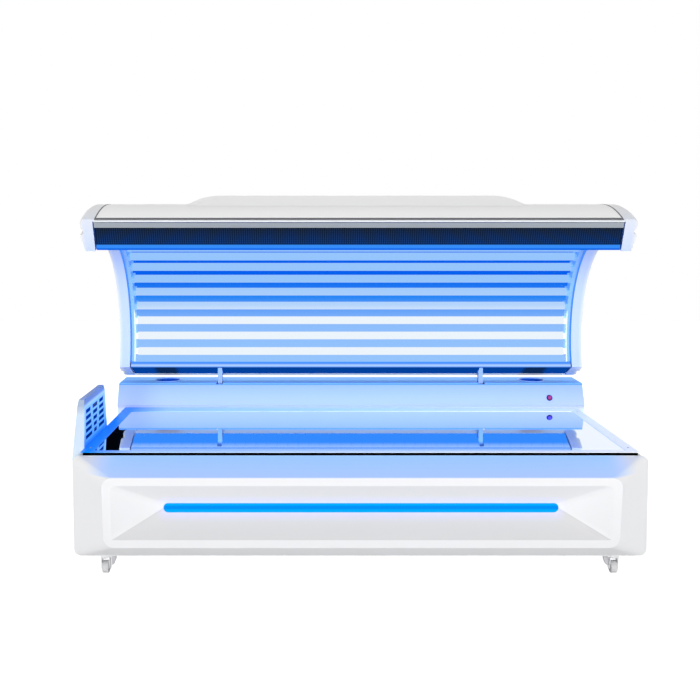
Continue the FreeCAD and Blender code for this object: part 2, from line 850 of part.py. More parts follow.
def stop_button_cap():
    # domed cap that slides in the collar, with its contact stem behind it
    crown = along_button(button_radius, -9.0, 14.0)
    crown = crown.makeFillet(3.0, [crown.Edges[index] for index in crown_edges(crown)])
    stem = along_button(4.0, 14.0, button_barrel_length - 3 - button_travel - 0.5)
    return fused([crown, stem])


def crown_edges(crown):
    front = button_centre + button_in * -9.0
    return [index for index, edge in enumerate(crown.Edges)
            if (edge.CenterOfMass - front).Length < 0.1 and edge.Closed]


def control_box():
    length, width, height = control_box_size
    x0, y0 = control_box_x - length / 2, console_foot_back - control_box_setback - width
    top = console_floor_top + height
    case = block(x0, x0 + length, y0, y0 + width, console_floor_top, top)
    fins = [block(x0 + 10 + 22 * n, x0 + 14 + 22 * n, y0 + 10, y0 + width - 10, top, top + control_fin_height)
            for n in range(13)]
    return fused([case] + fins)


# ================================================================ hinge
def pivot_turned(reach, offset):
    # a point measured along the arm from the pivot, and square to it towards the back
    tube_y, tube_z = canopy_at(tail_tube_circle, tail_tube_angle)
    along = V(0, tube_y - pivot_y, tube_z - pivot_z).normalize()
    return V(0, pivot_y, pivot_z) + along * reach + V(0, along.z, -along.y) * offset


def arm_half_width(reach):
    tube_y, tube_z = canopy_at(tail_tube_circle, tail_tube_angle)
    span = math.hypot(tube_y - pivot_y, tube_z - pivot_z)
    return arm_boss + (arm_saddle - arm_boss) * reach / span


def canopy_arm(side):
    tube_y, tube_z = canopy_at(tail_tube_circle, tail_tube_angle)
    span = math.hypot(tube_y - pivot_y, tube_z - pivot_z)
    x0, x1 = side * arm_x - arm_width / 2, side * arm_x + arm_width / 2
    corners = [pivot_turned(0, arm_boss), pivot_turned(span, arm_saddle),
               pivot_turned(span, -arm_saddle), pivot_turned(0, -arm_boss)]
    arm = fused([prism_x([(p.y, p.z) for p in corners], x0, x1),
                 bar_x(pivot_y, pivot_z, arm_boss, x0, x1), bar_x(tube_y, tube_z, arm_saddle, x0, x1)])
    return arm.cut(bar_x(pivot_y, pivot_z, pin_radius + bush_wall, x0, x1)).cut(
        bar_x(tube_y, tube_z, tail_tube_radius, x0, x1))


def arm_bush(side):
    x0, x1 = side * arm_x - arm_width / 2, side * arm_x + arm_width / 2
    return bar_x(pivot_y, pivot_z, pin_radius + bush_wall, x0, x1).cut(
        bar_x(pivot_y, pivot_z, pin_radius + shaft_play, x0, x1))


def stop_bar_centre():
    offset = arm_half_width(stop_bar_reach) + stop_bar_radius + gap
    return pivot_turned(stop_bar_reach, offset)


def hinge_bracket(side):
    inside = arm_width / 2 + cheek_play
    outside = inside + cheek_thickness
    foot_y0, foot_y1 = pivot_y - bracket_foot_front, pivot_y + bracket_foot_back
    stop = stop_bar_centre()
    top = pivot_z + arm_boss
    outline = [(foot_y0, console_floor_top), (foot_y1, console_floor_top), (stop.y + 8, stop.z - 10),
               (stop.y + 6, stop.z + 5), (stop.y - 6, stop.z + 5), (pivot_y + 8, top), (pivot_y - 10, top),
               (pivot_y - 18, pivot_z)]
    parts = [block(side * arm_x - outside - 14, side * arm_x + outside + 14, foot_y0, foot_y1,
                   console_floor_top, console_floor_top + bracket_foot)]
    x0, x1 = side * arm_x - outside, side * arm_x + outside
    for x in (x0, side * arm_x + inside):
        parts.append(prism_x(outline, x, x + cheek_thickness))
    parts.append(bar_x(stop.y, stop.z, stop_bar_radius, x0, x1))
    return fused(parts).cut(bar_x(pivot_y, pivot_z, pin_radius, x0, x1))


def hinge_pin(side):
    outside = arm_width / 2 + cheek_play + cheek_thickness
    near = side * (arm_x + outside)
    far = side * (arm_x - outside - spring_length - 6)
    x0, x1 = min(near, far), max(near, far)
    head_x = near if side > 0 else near - pin_head_length
    head = bar_x(pivot_y, pivot_z, pin_radius + pin_head, head_x, head_x + pin_head_length)
    return fused([bar_x(pivot_y, pivot_z, pin_radius, x0, x1), head])


def hinge_spring(side):
    pitch = spring_wire * 2 + 1.0
    turns = int((spring_length - 8) / pitch)
    radius = pin_radius + gap + spring_wire
    helix = Part.makeHelix(pitch, pitch * turns, radius)
    start = helix.Vertexes[0].Point
    profile = Part.Wire([Part.makeCircle(spring_wire, start, V(0, 1, 0))])
    coil = Part.Wire(helix.Edges).makePipeShell([profile], True, True)
    outside = arm_width / 2 + cheek_play + cheek_thickness
    coil.rotate(V(0, 0, 0), V(0, 1, 0), 90)
    x = side * arm_x - side * (outside + 3) if side < 0 else arm_x - outside - 3 - pitch * turns
    coil.translate(V(x, pivot_y, pivot_z))
    return coil


# ================================================================ fan tower
def tower_outline():
    return [(-casing_reach, bevel_height(casing_reach) + gap), (-bevel_top, casing_top + gap),
            (-tower_inner, casing_top + gap), (-tower_inner, tower_top - tower_chamfer),
            (-tower_inner_top, tower_top), (-corner_reach, tower_top)]


def tower_body(wall):
    # the back slopes, and the upper front edge is cut to a chamfer
    outline = inset(tower_outline(), [wall] * 6) if wall else tower_outline()
    body = prism_y(outline, tower_front + wall, tower_back_low)
    low_z, high_z = casing_top - 60, tower_top + 60
    lean = (tower_back_low - tower_back_high) / tower_height
    low_y = tower_back_low - wall + lean * (casing_top - low_z)
    high_y = tower_back_high - wall - lean * (high_z - tower_top)
    back = [(low_y, low_z), (low_y + 500, low_z), (high_y + 500, high_z), (high_y, high_z)]
    nose_y, nose_z = tower_front + wall, tower_top - wall
    nose = [(nose_y - 9, nose_z - tower_nose_height), (nose_y, nose_z - tower_nose_height),
            (nose_y + tower_nose_depth, nose_z), (nose_y + tower_nose_depth, nose_z + 9),
            (nose_y - 9, nose_z + 9)]
    return cut_all(body, [prism_x(points, -casing_reach - 30, -tower_inner + 30) for points in (back, nose)])


def column_span(column, share):
    # front and back of a slot column, a share of the way from the lowest row to the highest
    front, back = [low + (high - low) * share
                   for low, high in zip(tower_columns_low[column], tower_columns_high[column])]
    return tower_front + front, tower_front + back


def tower_window(margin, thickness):
    frame = tower_slot_frame + margin
    low, high = tower_slot_base - frame, tower_slot_base + tower_slot_rise + frame
    last = len(tower_columns_low) - 1
    points = [(column_span(0, 0)[0] - frame, low), (column_span(last, 0)[1] + frame, low),
              (column_span(last, 1)[1] + frame, high), (column_span(0, 0)[0] - frame, high)]
    return prism_x(points, -tower_inner - thickness, -tower_inner)


def tower_shell():
    return tower_body(0).cut(tower_body(shell_wall)).cut(tower_window(gap, shell_wall))


def tower_grille():
    slots = []
    for row in range(tower_slot_rows):
        z = tower_slot_base + tower_slot_pitch * row
        for column in range(len(tower_columns_low)):
            y0, y1 = column_span(column, row / (tower_slot_rows - 1))
            slots.append(block(-tower_inner - shell_wall - 1, -tower_inner + 1, y0, y1,
                               z, z + tower_slot_height))
    return cut_all(tower_window(0, shell_wall), slots)


def to_tower(shape):
    shape.rotate(V(0, 0, 0), V(0, 1, 0), 90)
    middle = tower_slot_base + tower_slot_rise / 2
    shape.translate(V(-tower_inner - shell_wall - tower_fan_thickness, tower_fan_y, middle))
    return shape


# ================================================================ canopy
def canopy_at(radius, angle):
    turn = math.radians(angle)
    return canopy_y + radius * math.cos(turn), canopy_z + radius * math.sin(turn)


def arc_band(inner, outer, low, high, x0, x1):
    def at(radius, angle):
        return V(x0, *canopy_at(radius, angle))

    middle = (low + high) / 2
    outline = Part.Wire([
        Part.Arc(at(outer, low), at(outer, middle), at(outer, high)).toShape(),
        Part.LineSegment(at(outer, high), at(inner, high)).toShape(),
        Part.Arc(at(inner, high), at(inner, middle), at(inner, low)).toShape(),
        Part.LineSegment(at(inner, low), at(outer, low)).toShape()])
    return Part.Face(outline).extrude(V(x1 - x0, 0, 0))


def swept(profile, low, high):
    # turns a profile of (x, radius) points about the canopy's centre line
    turn = math.radians(low)
    points = [V(x, canopy_y + r * math.cos(turn), canopy_z + r * math.sin(turn)) for x, r in profile]
    return polygon_face(points).revolve(V(0, canopy_y, canopy_z), V(1, 0, 0), high - low)


def rail_point(radius, forward):
    turn = math.radians(rail_angle)
    return (canopy_y + radius * math.cos(turn) - forward * math.sin(turn),
            canopy_z + radius * math.sin(turn) + forward * math.cos(turn))


def rail_prism(points, x0, x1):
    return prism_x([rail_point(r, f) for r, f in points], x0, x1)


def tail_point(reach, lift):
    # measured down the sloping tail face from its inner lip, and square to it into the canopy
    lip_y, lip_z = canopy_at(inner_radius, tail_lip_angle)
    slope = math.radians(tail_slope)
    return (lip_y + reach * math.cos(slope) + lift * math.sin(slope),
            lip_z - reach * math.sin(slope) + lift * math.cos(slope))


def tail_waste(lift=0.0):
    return prism_x([tail_point(-200, lift), tail_point(-200, lift - 300), tail_point(500, lift - 300),
                    tail_point(500, lift)], -corner_reach - 60, corner_reach + 60)


tail_start = -24.0           # arcs are drawn past the tail and trimmed by the tail face
shell_inner = outer_radius - canopy_wall


def tail_length():
    # from the inner lip down the tail face to the outer radius
    along = inner_radius * math.cos(math.radians(tail_slope + tail_lip_angle))
    return math.sqrt(along ** 2 + outer_radius ** 2 - inner_radius ** 2) - along


def canopy_shell():
    shell = arc_band(shell_inner, outer_radius, tail_start, rail_angle - 0.4,
                     -canopy_shell_half, canopy_shell_half)
    # the lower edge is folded in over the tail
    start, end = tail_length() - tail_fold, tail_length() - canopy_wall / 2
    fold = prism_x([tail_point(start, 0), tail_point(end, 0), tail_point(end, canopy_wall),
                    tail_point(start, canopy_wall)], -canopy_shell_half, canopy_shell_half)
    return fused([shell.cut(tail_waste()), fold])


def cap_profile(wall):
    # (x, radius) outline of an end cap, with the groove round its side
    low = outer_radius - cap_groove_drop
    high = low + cap_groove_width
    swell, half_wall = corner_reach + cap_swell - wall, wall / 2
    groove = corner_reach - cap_groove_depth - wall
    top = corner_reach - wall
    return [
        (cap_inner, inner_radius + wall), (swell - 4, inner_radius + wall), (swell, low - 10),
        (swell, low - wall), (groove, low + 8 - half_wall), (groove, high - 6 + half_wall),
        (top, high + 8 + half_wall), (top, outer_radius - 16), (top - 5, outer_radius - 6 - half_wall),
        (top - 17, outer_radius - wall), (cap_flange_inner, outer_radius - wall),
        (cap_flange_inner, outer_radius - cap_flange_height), (cap_inner, outer_radius - cap_flange_height)]


def cap_hollow_profile():
    return cap_profile(cap_wall)[:-3] + [(cap_inner, outer_radius - cap_wall)]


def cap_bevel(wall):
    # what is cut from the lower front corner of an end cap
    low = outer_radius - cap_groove_drop - 10
    start, end = corner_reach - 12 - wall, corner_reach + cap_swell - wall
    slope = (low - inner_radius) / (end - start)
    corners = [(start - 20 / slope, inner_radius - 20), (end, low), (end + 40, low),
               (end + 40, inner_radius - 20)]
    face = polygon_face([V(x, *rail_point(r, 5)) for x, r in corners])
    back = V(0, *rail_point(0, -cap_bevel_depth)) - V(0, *rail_point(0, 5))
    return face.extrude(back)


def canopy_end():
    cap = swept(cap_profile(0), tail_start, rail_angle)
    end_plate_angle = math.degrees(cap_wall / outer_radius)
    hollow = swept(cap_hollow_profile(), tail_start + 1, rail_angle - end_plate_angle)
    hollow = hollow.cut(tail_waste(cap_wall)).cut(cap_bevel(cap_wall))
    return cap.cut(hollow).cut(tail_waste()).cut(cap_bevel(0))


def cowl_body(wall):
    # ends with a hollow toe and a round crown, front and back cut to a slope
    half_low, half_high = cowl_half_low - 3 * wall, cowl_half_high - wall
    low, high = outer_radius, outer_radius + cowl_height - wall
    toe_x, toe_r = half_low - cowl_toe, low + cowl_toe_height - wall / 2
    run, rise = toe_x - half_high, high - toe_r
    crown_radius = (run ** 2 + rise ** 2) / (2 * rise)
    turn = math.asin(run / crown_radius) / 2
    crown = (half_high + crown_radius * math.sin(turn), high - crown_radius * (1 - math.cos(turn)))
    toe = (half_low - cowl_toe * 0.49, low + (toe_r - low) * 0.38)

    def at(x, r):
        start = math.radians(cowl_angles[0])
        return V(x, canopy_y + r * math.cos(start), canopy_z + r * math.sin(start))

    corners = [(half_low, low), toe, (toe_x, toe_r), crown, (half_high, high)]
    right = [at(*corner) for corner in corners]
    left = [at(-x, r) for x, r in corners]
    outline = Part.Wire([
        Part.Arc(right[0], right[1], right[2]).toShape(), Part.Arc(right[2], right[3], right[4]).toShape(),
        Part.LineSegment(right[4], left[4]).toShape(), Part.Arc(left[4], left[3], left[2]).toShape(),
        Part.Arc(left[2], left[1], left[0]).toShape(), Part.LineSegment(left[0], right[0]).toShape()])
    body = Part.Face(outline).revolve(V(0, canopy_y, canopy_z), V(1, 0, 0), cowl_angles[1] - cowl_angles[0])
    for foot, crest in zip(cowl_angles, cowl_crest_angles):
        foot_y, foot_z = canopy_at(outer_radius, foot)
        crest_y, crest_z = canopy_at(outer_radius + cowl_height, crest)
        away = V(0, crest_z - foot_z, foot_y - crest_y).normalize()
        if away.y * (foot_y - crest_y) < 0:
            away = away * -1
        along = V(0, crest_y - foot_y, crest_z - foot_z)
        a = V(0, foot_y, foot_z) - along * 0.5 - away * wall
        b = V(0, crest_y, crest_z) + along - away * wall
        corners = [a, b, b + away * 200, a + away * 200]
        body = body.cut(prism_x([(p.y, p.z) for p in corners], -cowl_half_low - 5, cowl_half_low + 5))
    return body


def canopy_cowl():
    return cowl_body(0).cut(cowl_body(cowl_wall))


def square(low, high, back, front):
    return [(low, back), (high, back), (high, front), (low, front)]


def canopy_frame():
    pieces = []
    for x in rib_xs:
        rib = arc_band(reflector_radius + reflector_thickness, shell_inner, tail_start, rail_angle - 3.5,
                       x - rib_thickness / 2, x + rib_thickness / 2)
        pieces.append(rib.cut(tail_waste(12.0)))
    tube_y, tube_z = canopy_at(tail_tube_circle, tail_tube_angle)
    reach = outer_rib_x + rib_thickness / 2
    pieces.append(bar_x(tube_y, tube_z, tail_tube_radius, -reach, reach))
    high, front = outer_radius - frame_tube_inset, -rail_depth
    low, back = high - frame_tube_size, front - frame_tube_size
    pieces.append(rail_prism(square(low, high, back, front), -reach, reach))
    bores = [bar_x(tube_y, tube_z, tail_tube_radius - frame_wall, -reach, reach),
             rail_prism(square(low + frame_wall, high - frame_wall, back + frame_wall, front - frame_wall),
                        -reach, reach)]
    return cut_all(fused(pieces), bores)


def canopy_reflector():
    half = canopy_lamp_half + lamp_cap_length + 20
    return arc_band(reflector_radius, reflector_radius + reflector_thickness,
                    tail_lip_angle + retainer_angle - 1, rail_angle - retainer_angle - 0.3, -half, half)


def canopy_lamp_places():
    return [canopy_at(canopy_lamp_circle, canopy_lamp_first + canopy_lamp_step * index)
            for index in range(canopy_lamp_count)]


def canopy_lamp_holders():
    # one curved strip per end, with a socket block for each lamp
    start = canopy_lamp_half + lamp_cap_length
    strip = arc_band(inner_radius + canopy_acrylic + holder_strip_lift, reflector_radius,
                     tail_lip_angle + retainer_angle, rail_angle - retainer_angle - 0.5,
                     start + socket_length - 1, cap_inner - holder_strip_margin)
    sockets = []
    for index in range(canopy_lamp_count):
        angle = canopy_lamp_first + canopy_lamp_step * index
        sockets.append(arc_band(canopy_lamp_circle - socket_depth, reflector_radius,
                                angle - socket_half_angle, angle + socket_half_angle,
                                start, start + socket_length))
    strip = fused([strip] + sockets)
    return strip, mirrored(strip)


def canopy_clear_sheet():
    return arc_band(inner_radius, inner_radius + canopy_acrylic, tail_lip_angle + retainer_angle + gap / 10,
                    rail_angle - retainer_angle - gap / 10, -cap_inner + gap, cap_inner - gap)


def acrylic_retainers():
    # the strips that hold the clear sheet along the front rail and along the tail
    half = rail_half - 1
    top = inner_radius + retainer_height
    front = rail_prism([(inner_radius, -retainer_depth), (inner_radius, -16), (inner_radius + 5, 0),
                        (top - 2, -1), (top, -4), (top, -retainer_depth)], -half, half)
    tail = arc_band(inner_radius - 2, inner_radius + 6, tail_lip_angle, tail_lip_angle + retainer_angle,
                    -half, half)
    return front, tail.cut(tail_waste())


def front_rail():
    # aluminium nose profile with its bead along the upper edge; the end caps' flanges lap its back
    bead_high = outer_radius - bead_inset
    bead_low = bead_high - bead_width
    outline = [(rail_low, -rail_depth), (rail_low, 0), (bead_low, 0), (bead_low, bead_height - 2),
               (bead_low + bead_width / 2, bead_height), (bead_high, bead_height - 2), (rail_high, 0),
               (rail_high, -rail_depth)]
    foot = inner_radius + retainer_height + gap
    foot_front = rail_foot_depth - rail_depth
    low = [(foot, -rail_depth), (foot, foot_front), (rail_low, foot_front), (rail_low, -rail_depth)]
    rail = fused([rail_prism(outline, -rail_half, rail_half), rail_prism(low, -rail_half, rail_half)])
    lap = outer_radius - cap_flange_height - gap - rail_depth ** 2 / (2 * outer_radius)
    step = rail_prism(square(lap, outer_radius, -rail_depth - 1, gap), cap_flange_inner - gap, rail_half + 1)
    return cut_all(rail, [step, mirrored(step)])


def rail_grille():
    low, high = inner_radius + retainer_height + 1, rail_low - gap
    back, front = -grille_setback - grille_thickness, -grille_setback
    plate = rail_prism([(low, back), (low, front), (high, front), (high, back)], -rail_half, rail_half)
    slot = inner_radius + slot_lift
    tools = []
    for side in (-1, 1):
        x0, x1 = sorted((side * (rail_half - slot_margin), side * (rail_half - slot_margin - slot_length)))
        tools.append(rail_prism([(slot, front - slot_depth), (slot, 0), (slot + slot_height, 0),
                                 (slot + slot_height, front - slot_depth)], x0, x1))
    return cut_all(plate, tools)


def tail_grille():
    # dark strip that closes the tail, with slanted slats at a steady pitch
    reach_end = tail_length() - tail_grille_margin
    plate = prism_x([tail_point(9, 5), tail_point(reach_end, 5), tail_point(reach_end, 8), tail_point(9, 8)],
                    -rail_half, rail_half)
    frames = [prism_x([tail_point(a, 0.5), tail_point(a + 5, 0.5), tail_point(a + 5, 5), tail_point(a, 5)],
                      -rail_half, rail_half) for a in (9, reach_end - 5)]
    count = int(2 * rail_half / slat_pitch)
    slats = []
    for index in range(count):
        x = (index - (count - 1) / 2) * slat_pitch
        corners = [(x - 2, 12, 0.5), (x + 2, 12, 0.5), (x + 22, reach_end - 3, 0.5),
                   (x + 18, reach_end - 3, 0.5)]
        face = polygon_face([V(cx, *tail_point(reach, lift)) for cx, reach, lift in corners])
        rise = V(0, *tail_point(0, 5)) - V(0, *tail_point(0, 0.5))
        slats.append(face.extrude(rise))
    strip = fused([plate] + frames + slats)
    for side in (-1, 1):
        x = side * arm_x
        half = arm_width / 2 + gap
        strip = strip.cut(block(x - half, x + half, pivot_y - 60, pivot_y + 90, console_top, canopy_z))
    return strip


# ================================================================ casters
wheel_centre_z = wheel_radius
caster_top = pan_bottom
boss_bottom = caster_top - caster_boss_drop
fork_top = boss_bottom - gap
brake_z = fork_top - brake_drop


def caster_spots():
    return {"front_left": (-caster_rail_x, caster_ys[0]), "front_right": (caster_rail_x, caster_ys[0]),
            "rear_left": (-caster_rail_x, caster_ys[1]), "rear_right": (caster_rail_x, caster_ys[1])}


def caster_mount(x, y):
    half = caster_plate / 2
    plate = block(x - half, x + half, y - half, y + half, caster_top - caster_plate_thickness, caster_top)
    boss = bar_z(x, y, caster_boss_radius, boss_bottom, caster_top - caster_plate_thickness)
    pin = bar_z(x, y, caster_pin_radius, fork_top - fork_bridge - 4, boss_bottom)
    head = bar_z(x, y, caster_pin_radius + caster_pin_head, fork_top - fork_bridge - 7,
                 fork_top - fork_bridge - gap)
    return fused([plate, boss, pin, head])


def caster_fork(x, y, brake_side):
    inside = wheel_width / 2 + wheel_play
    outside = inside + fork_leg
    bridge_low = fork_top - fork_bridge
    axle_y = y + caster_trail
    bridge = block(x - outside, x + outside, y - 17, axle_y + 14, bridge_low, fork_top)
    bridge = bridge.makeFillet(5.0, [e for e in bridge.Edges if abs(e.Vertexes[0].Z - e.Vertexes[-1].Z) > 5])
    legs = []
    for start in (x - outside, x + inside):
        outline = [(y - 10, bridge_low + 1), (axle_y - 10, wheel_centre_z), (axle_y + 10, wheel_centre_z),
                   (axle_y + 13, bridge_low + 1)]
        legs.append(prism_x(outline, start, start + fork_leg))
        legs.append(bar_x(axle_y, wheel_centre_z, 10.0, start, start + fork_leg))
    parts = [bridge] + legs
    if brake_side:
        hinge_x = x + brake_side * (outside + brake_offset)
        near = x + brake_side * outside
        low_x, high_x = min(near, hinge_x), max(near, hinge_x)
        for ear_y in (y - 12, y + 9):
            parts.append(block(low_x, high_x, ear_y, ear_y + 3, brake_z - 4, brake_z + 4))
            parts.append(Part.makeCylinder(4.0, 3, V(hinge_x, ear_y, brake_z), V(0, 1, 0)))
        parts.append(Part.makeCylinder(brake_pin_radius, 24, V(hinge_x, y - 12, brake_z), V(0, 1, 0)))
    body = fused(parts)
    body = body.cut(bar_z(x, y, caster_pin_radius + shaft_play, bridge_low - 1, fork_top + 1))
    axle_hole = bar_x(axle_y, wheel_centre_z, axle_radius, x - outside, x + outside)
    head = axle_radius + axle_head
    axle = fused([axle_hole, bar_x(axle_y, wheel_centre_z, head, x - outside - 2, x - outside),
                  bar_x(axle_y, wheel_centre_z, head, x + outside, x + outside + 2)])
    return body.cut(axle_hole), axle


def caster_wheel(x, y):
    axle_y = y + caster_trail
    half = wheel_width / 2
    wheel = bar_x(axle_y, wheel_centre_z, wheel_radius, x - half, x + half)
    wheel = wheel.makeFillet(4.0, [e for e in wheel.Edges if e.Closed])
    for start in (x - half, x + half - 3):
        dish = bar_x(axle_y, wheel_centre_z, wheel_radius - 7, start, start + 3).cut(
            bar_x(axle_y, wheel_centre_z, 9.0, start, start + 3))
        wheel = wheel.cut(dish)
    return wheel.cut(bar_x(axle_y, wheel_centre_z, axle_radius + shaft_play, x - half, x + half))


def brake_pedal(x, y, side):
    # lever hinged beside the fork, its pad hanging beside the wheel
    hinge_x = x + side * (wheel_width / 2 + wheel_play + fork_leg + brake_offset)
    half = brake_width / 2
    barrel = Part.makeCylinder(4.5, brake_width, V(hinge_x, y - half, brake_z), V(0, 1, 0))
    points = [(hinge_x + side * 2.0, brake_z - 2), (hinge_x + side * 18, brake_z - 1),
              (hinge_x + side * 19, brake_z - 12), (hinge_x + side * 11, brake_z - 33),
              (hinge_x + side * 6, brake_z - 37), (hinge_x + side * 1.5, brake_z - 34)]
    pad = prism_y(points, y - half, y + half)
    return fused([barrel, pad]).cut(
        Part.makeCylinder(brake_pin_radius + shaft_play, 20, V(hinge_x, y - 10, brake_z), V(0, 1, 0)))


# ================================================================ write every piece
os.makedirs("parts", exist_ok=True)

save("chassis_frame", chassis())
save("front_panel", front_panel())
save("led_lens", led_lens())
save("led_channel", led_channel())
right_shell = end_shell()
save("end_shell_right", right_shell)
save("end_shell_left", mirrored(right_shell))
save("rear_panel", rear_panel())
save("belly_pan", belly_pan())
save("power_gland", power_gland())

save("deck_seal", deck_seal())
save("deck_acrylic", deck_acrylic())
save("deck_rim", deck_rim())
save("deck_screws", *deck_screws())
save("deck_reflector", deck_reflector())
save("deck_lamps", *lamp_tubes(deck_lamp_places(), deck_lamp_half))
save("deck_lamp_caps", *lamp_caps(deck_lamp_places(), deck_lamp_half))
save("deck_lamp_holders", *deck_lamp_holders())
save("ballasts", *ballasts())

save("console_shell", console_shell())
save("console_floor", console_floor())
save("console_vents", console_vent(-1), console_vent(1))
save("fan_frames", console_fan_piece(fan_frame(fan_size, fan_thickness), -1),
     console_fan_piece(fan_frame(fan_size, fan_thickness), 1),
     to_tower(fan_frame(tower_fan_size, tower_fan_thickness)))
save("console_fan_left", console_fan_piece(fan_rotor(fan_size, fan_thickness), -1))
save("console_fan_right", console_fan_piece(fan_rotor(fan_size, fan_thickness), 1))
save("stop_button_collar", stop_button_collar())
save("stop_button_cap", stop_button_cap())
save("control_box", control_box())

save("hinge_brackets", hinge_bracket(-1), hinge_bracket(1))
save("hinge_pins", hinge_pin(-1), hinge_pin(1))
save("hinge_springs", hinge_spring(-1), hinge_spring(1))

save("tower_shell", tower_shell())
save("tower_grille", tower_grille())
save("tower_fan_rotor", to_tower(fan_rotor(tower_fan_size, tower_fan_thickness)))

save("canopy_shell", canopy_shell())
save("canopy_cowl", canopy_cowl())
right_end = canopy_end()
save("canopy_end_right", right_end)
save("canopy_end_left", mirrored(right_end))
save("canopy_frame", canopy_frame())
save("canopy_reflector", canopy_reflector())
save("canopy_lamps", *lamp_tubes(canopy_lamp_places(), canopy_lamp_half))
save("canopy_lamp_caps", *lamp_caps(canopy_lamp_places(), canopy_lamp_half))
save("canopy_lamp_holders", *canopy_lamp_holders())
save("canopy_acrylic", canopy_clear_sheet())
save("acrylic_retainers", *acrylic_retainers())
save("front_rail", front_rail())
save("rail_grille", rail_grille())
save("tail_grille", tail_grille())
save("canopy_arms", canopy_arm(-1), canopy_arm(1))
save("arm_bushes", arm_bush(-1), arm_bush(1))

save("caster_mounts", *[caster_mount(x, y) for x, y in caster_spots().values()])
for place, (x, y) in caster_spots().items():
    brake_side = (1 if x < 0 else -1) if place.startswith("front") else 0
    save("caster_fork_" + place, *caster_fork(x, y, brake_side))
    save("caster_wheel_" + place, caster_wheel(x, y))
    if brake_side:
        save("brake_pedal_" + place, brake_pedal(x, y, brake_side))
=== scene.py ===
import math

import bmesh
import bpy
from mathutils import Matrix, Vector


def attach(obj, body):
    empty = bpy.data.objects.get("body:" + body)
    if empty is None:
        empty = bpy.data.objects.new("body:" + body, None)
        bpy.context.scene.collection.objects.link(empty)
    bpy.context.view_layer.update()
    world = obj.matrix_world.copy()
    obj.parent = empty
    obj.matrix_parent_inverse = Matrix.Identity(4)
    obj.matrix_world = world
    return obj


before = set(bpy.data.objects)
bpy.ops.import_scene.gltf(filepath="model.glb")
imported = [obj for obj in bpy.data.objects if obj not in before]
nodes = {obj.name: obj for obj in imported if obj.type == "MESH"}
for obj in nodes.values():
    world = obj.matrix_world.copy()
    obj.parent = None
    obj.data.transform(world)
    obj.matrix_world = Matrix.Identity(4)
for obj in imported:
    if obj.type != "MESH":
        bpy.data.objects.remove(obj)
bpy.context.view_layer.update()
scene = bpy.context.scene
footprint = 0.645    # the bed's front edge lies this far in front of the origin
print("frame loaded:", len(nodes), "nodes")


# camera: level, square to the bed, lens shifted instead of turned
cameraView = {"x": -0.193, "y": -3.6 - footprint, "z": 1.42,
              "lens": 48.14, "sensor": 36.0, "shiftX": 0.0543, "shiftY": -0.1829}

cameraData = bpy.data.cameras.new("roomCamera")
cameraData.lens = cameraView["lens"]
cameraData.sensor_width = cameraView["sensor"]
cameraData.shift_x = cameraView["shiftX"]
cameraData.shift_y = cameraView["shiftY"]
camera = bpy.data.objects.new("roomCamera", cameraData)
camera.location = (cameraView["x"], cameraView["y"], cameraView["z"])
camera.rotation_euler = (math.radians(90), 0, 0)
scene.collection.objects.link(camera)
scene.camera = camera
scene.view_settings.view_transform = "Standard"


# colour helpers

def fromHex(text):
    parts = [int(text[i:i + 2], 16) / 255 for i in (0, 2, 4)]
    return tuple(c / 12.92 if c < 0.04045 else ((c + 0.055) / 1.055) ** 2.4 for c in parts) + (1.0,)


def link(tree, source, target):
    tree.links.new(source, target)


def ownPlace(tree):
    # the object's own X, Y and Z
    place = tree.nodes.new("ShaderNodeTexCoord")
    parts = tree.nodes.new("ShaderNodeSeparateXYZ")
    link(tree, place.outputs["Object"], parts.inputs[0])
    return parts.outputs


def reckoned(tree, kind, *given):
    # one math node, with numbers set on it and everything else linked
    node = tree.nodes.new("ShaderNodeMath")
    node.operation = kind
    for socket, value in zip(node.inputs, given):
        if isinstance(value, (int, float)):
            socket.default_value = value
        else:
            link(tree, value, socket)
    return node.outputs[0]


def ranged(tree, value, fromMin=0.0, fromMax=1.0, toMin=0.0, toMax=1.0, smooth=False):
    node = tree.nodes.new("ShaderNodeMapRange")
    node.interpolation_type = "SMOOTHSTEP" if smooth else "LINEAR"
    node.inputs["From Min"].default_value = fromMin
    node.inputs["From Max"].default_value = fromMax
    node.inputs["To Min"].default_value = toMin
    node.inputs["To Max"].default_value = toMax
    link(tree, value, node.inputs["Value"])
    return node.outputs[0]


def skinOf(material):
    return next(node for node in material.node_tree.nodes if node.type == "GROUP")


def surfaceOf(material):
    return material.node_tree.nodes["Principled BSDF"]


# shared shader groups

def newGroup(name, inputs, outputs):
    group = bpy.data.node_groups.new(name, "ShaderNodeTree")
    for label, kind, value in inputs:
        socket = group.interface.new_socket(label, in_out="INPUT", socket_type=kind)
        if value is not None:
            socket.default_value = value
    for label, kind in outputs:
        group.interface.new_socket(label, in_out="OUTPUT", socket_type=kind)
    return group, group.nodes.new("NodeGroupInput"), group.nodes.new("NodeGroupOutput")


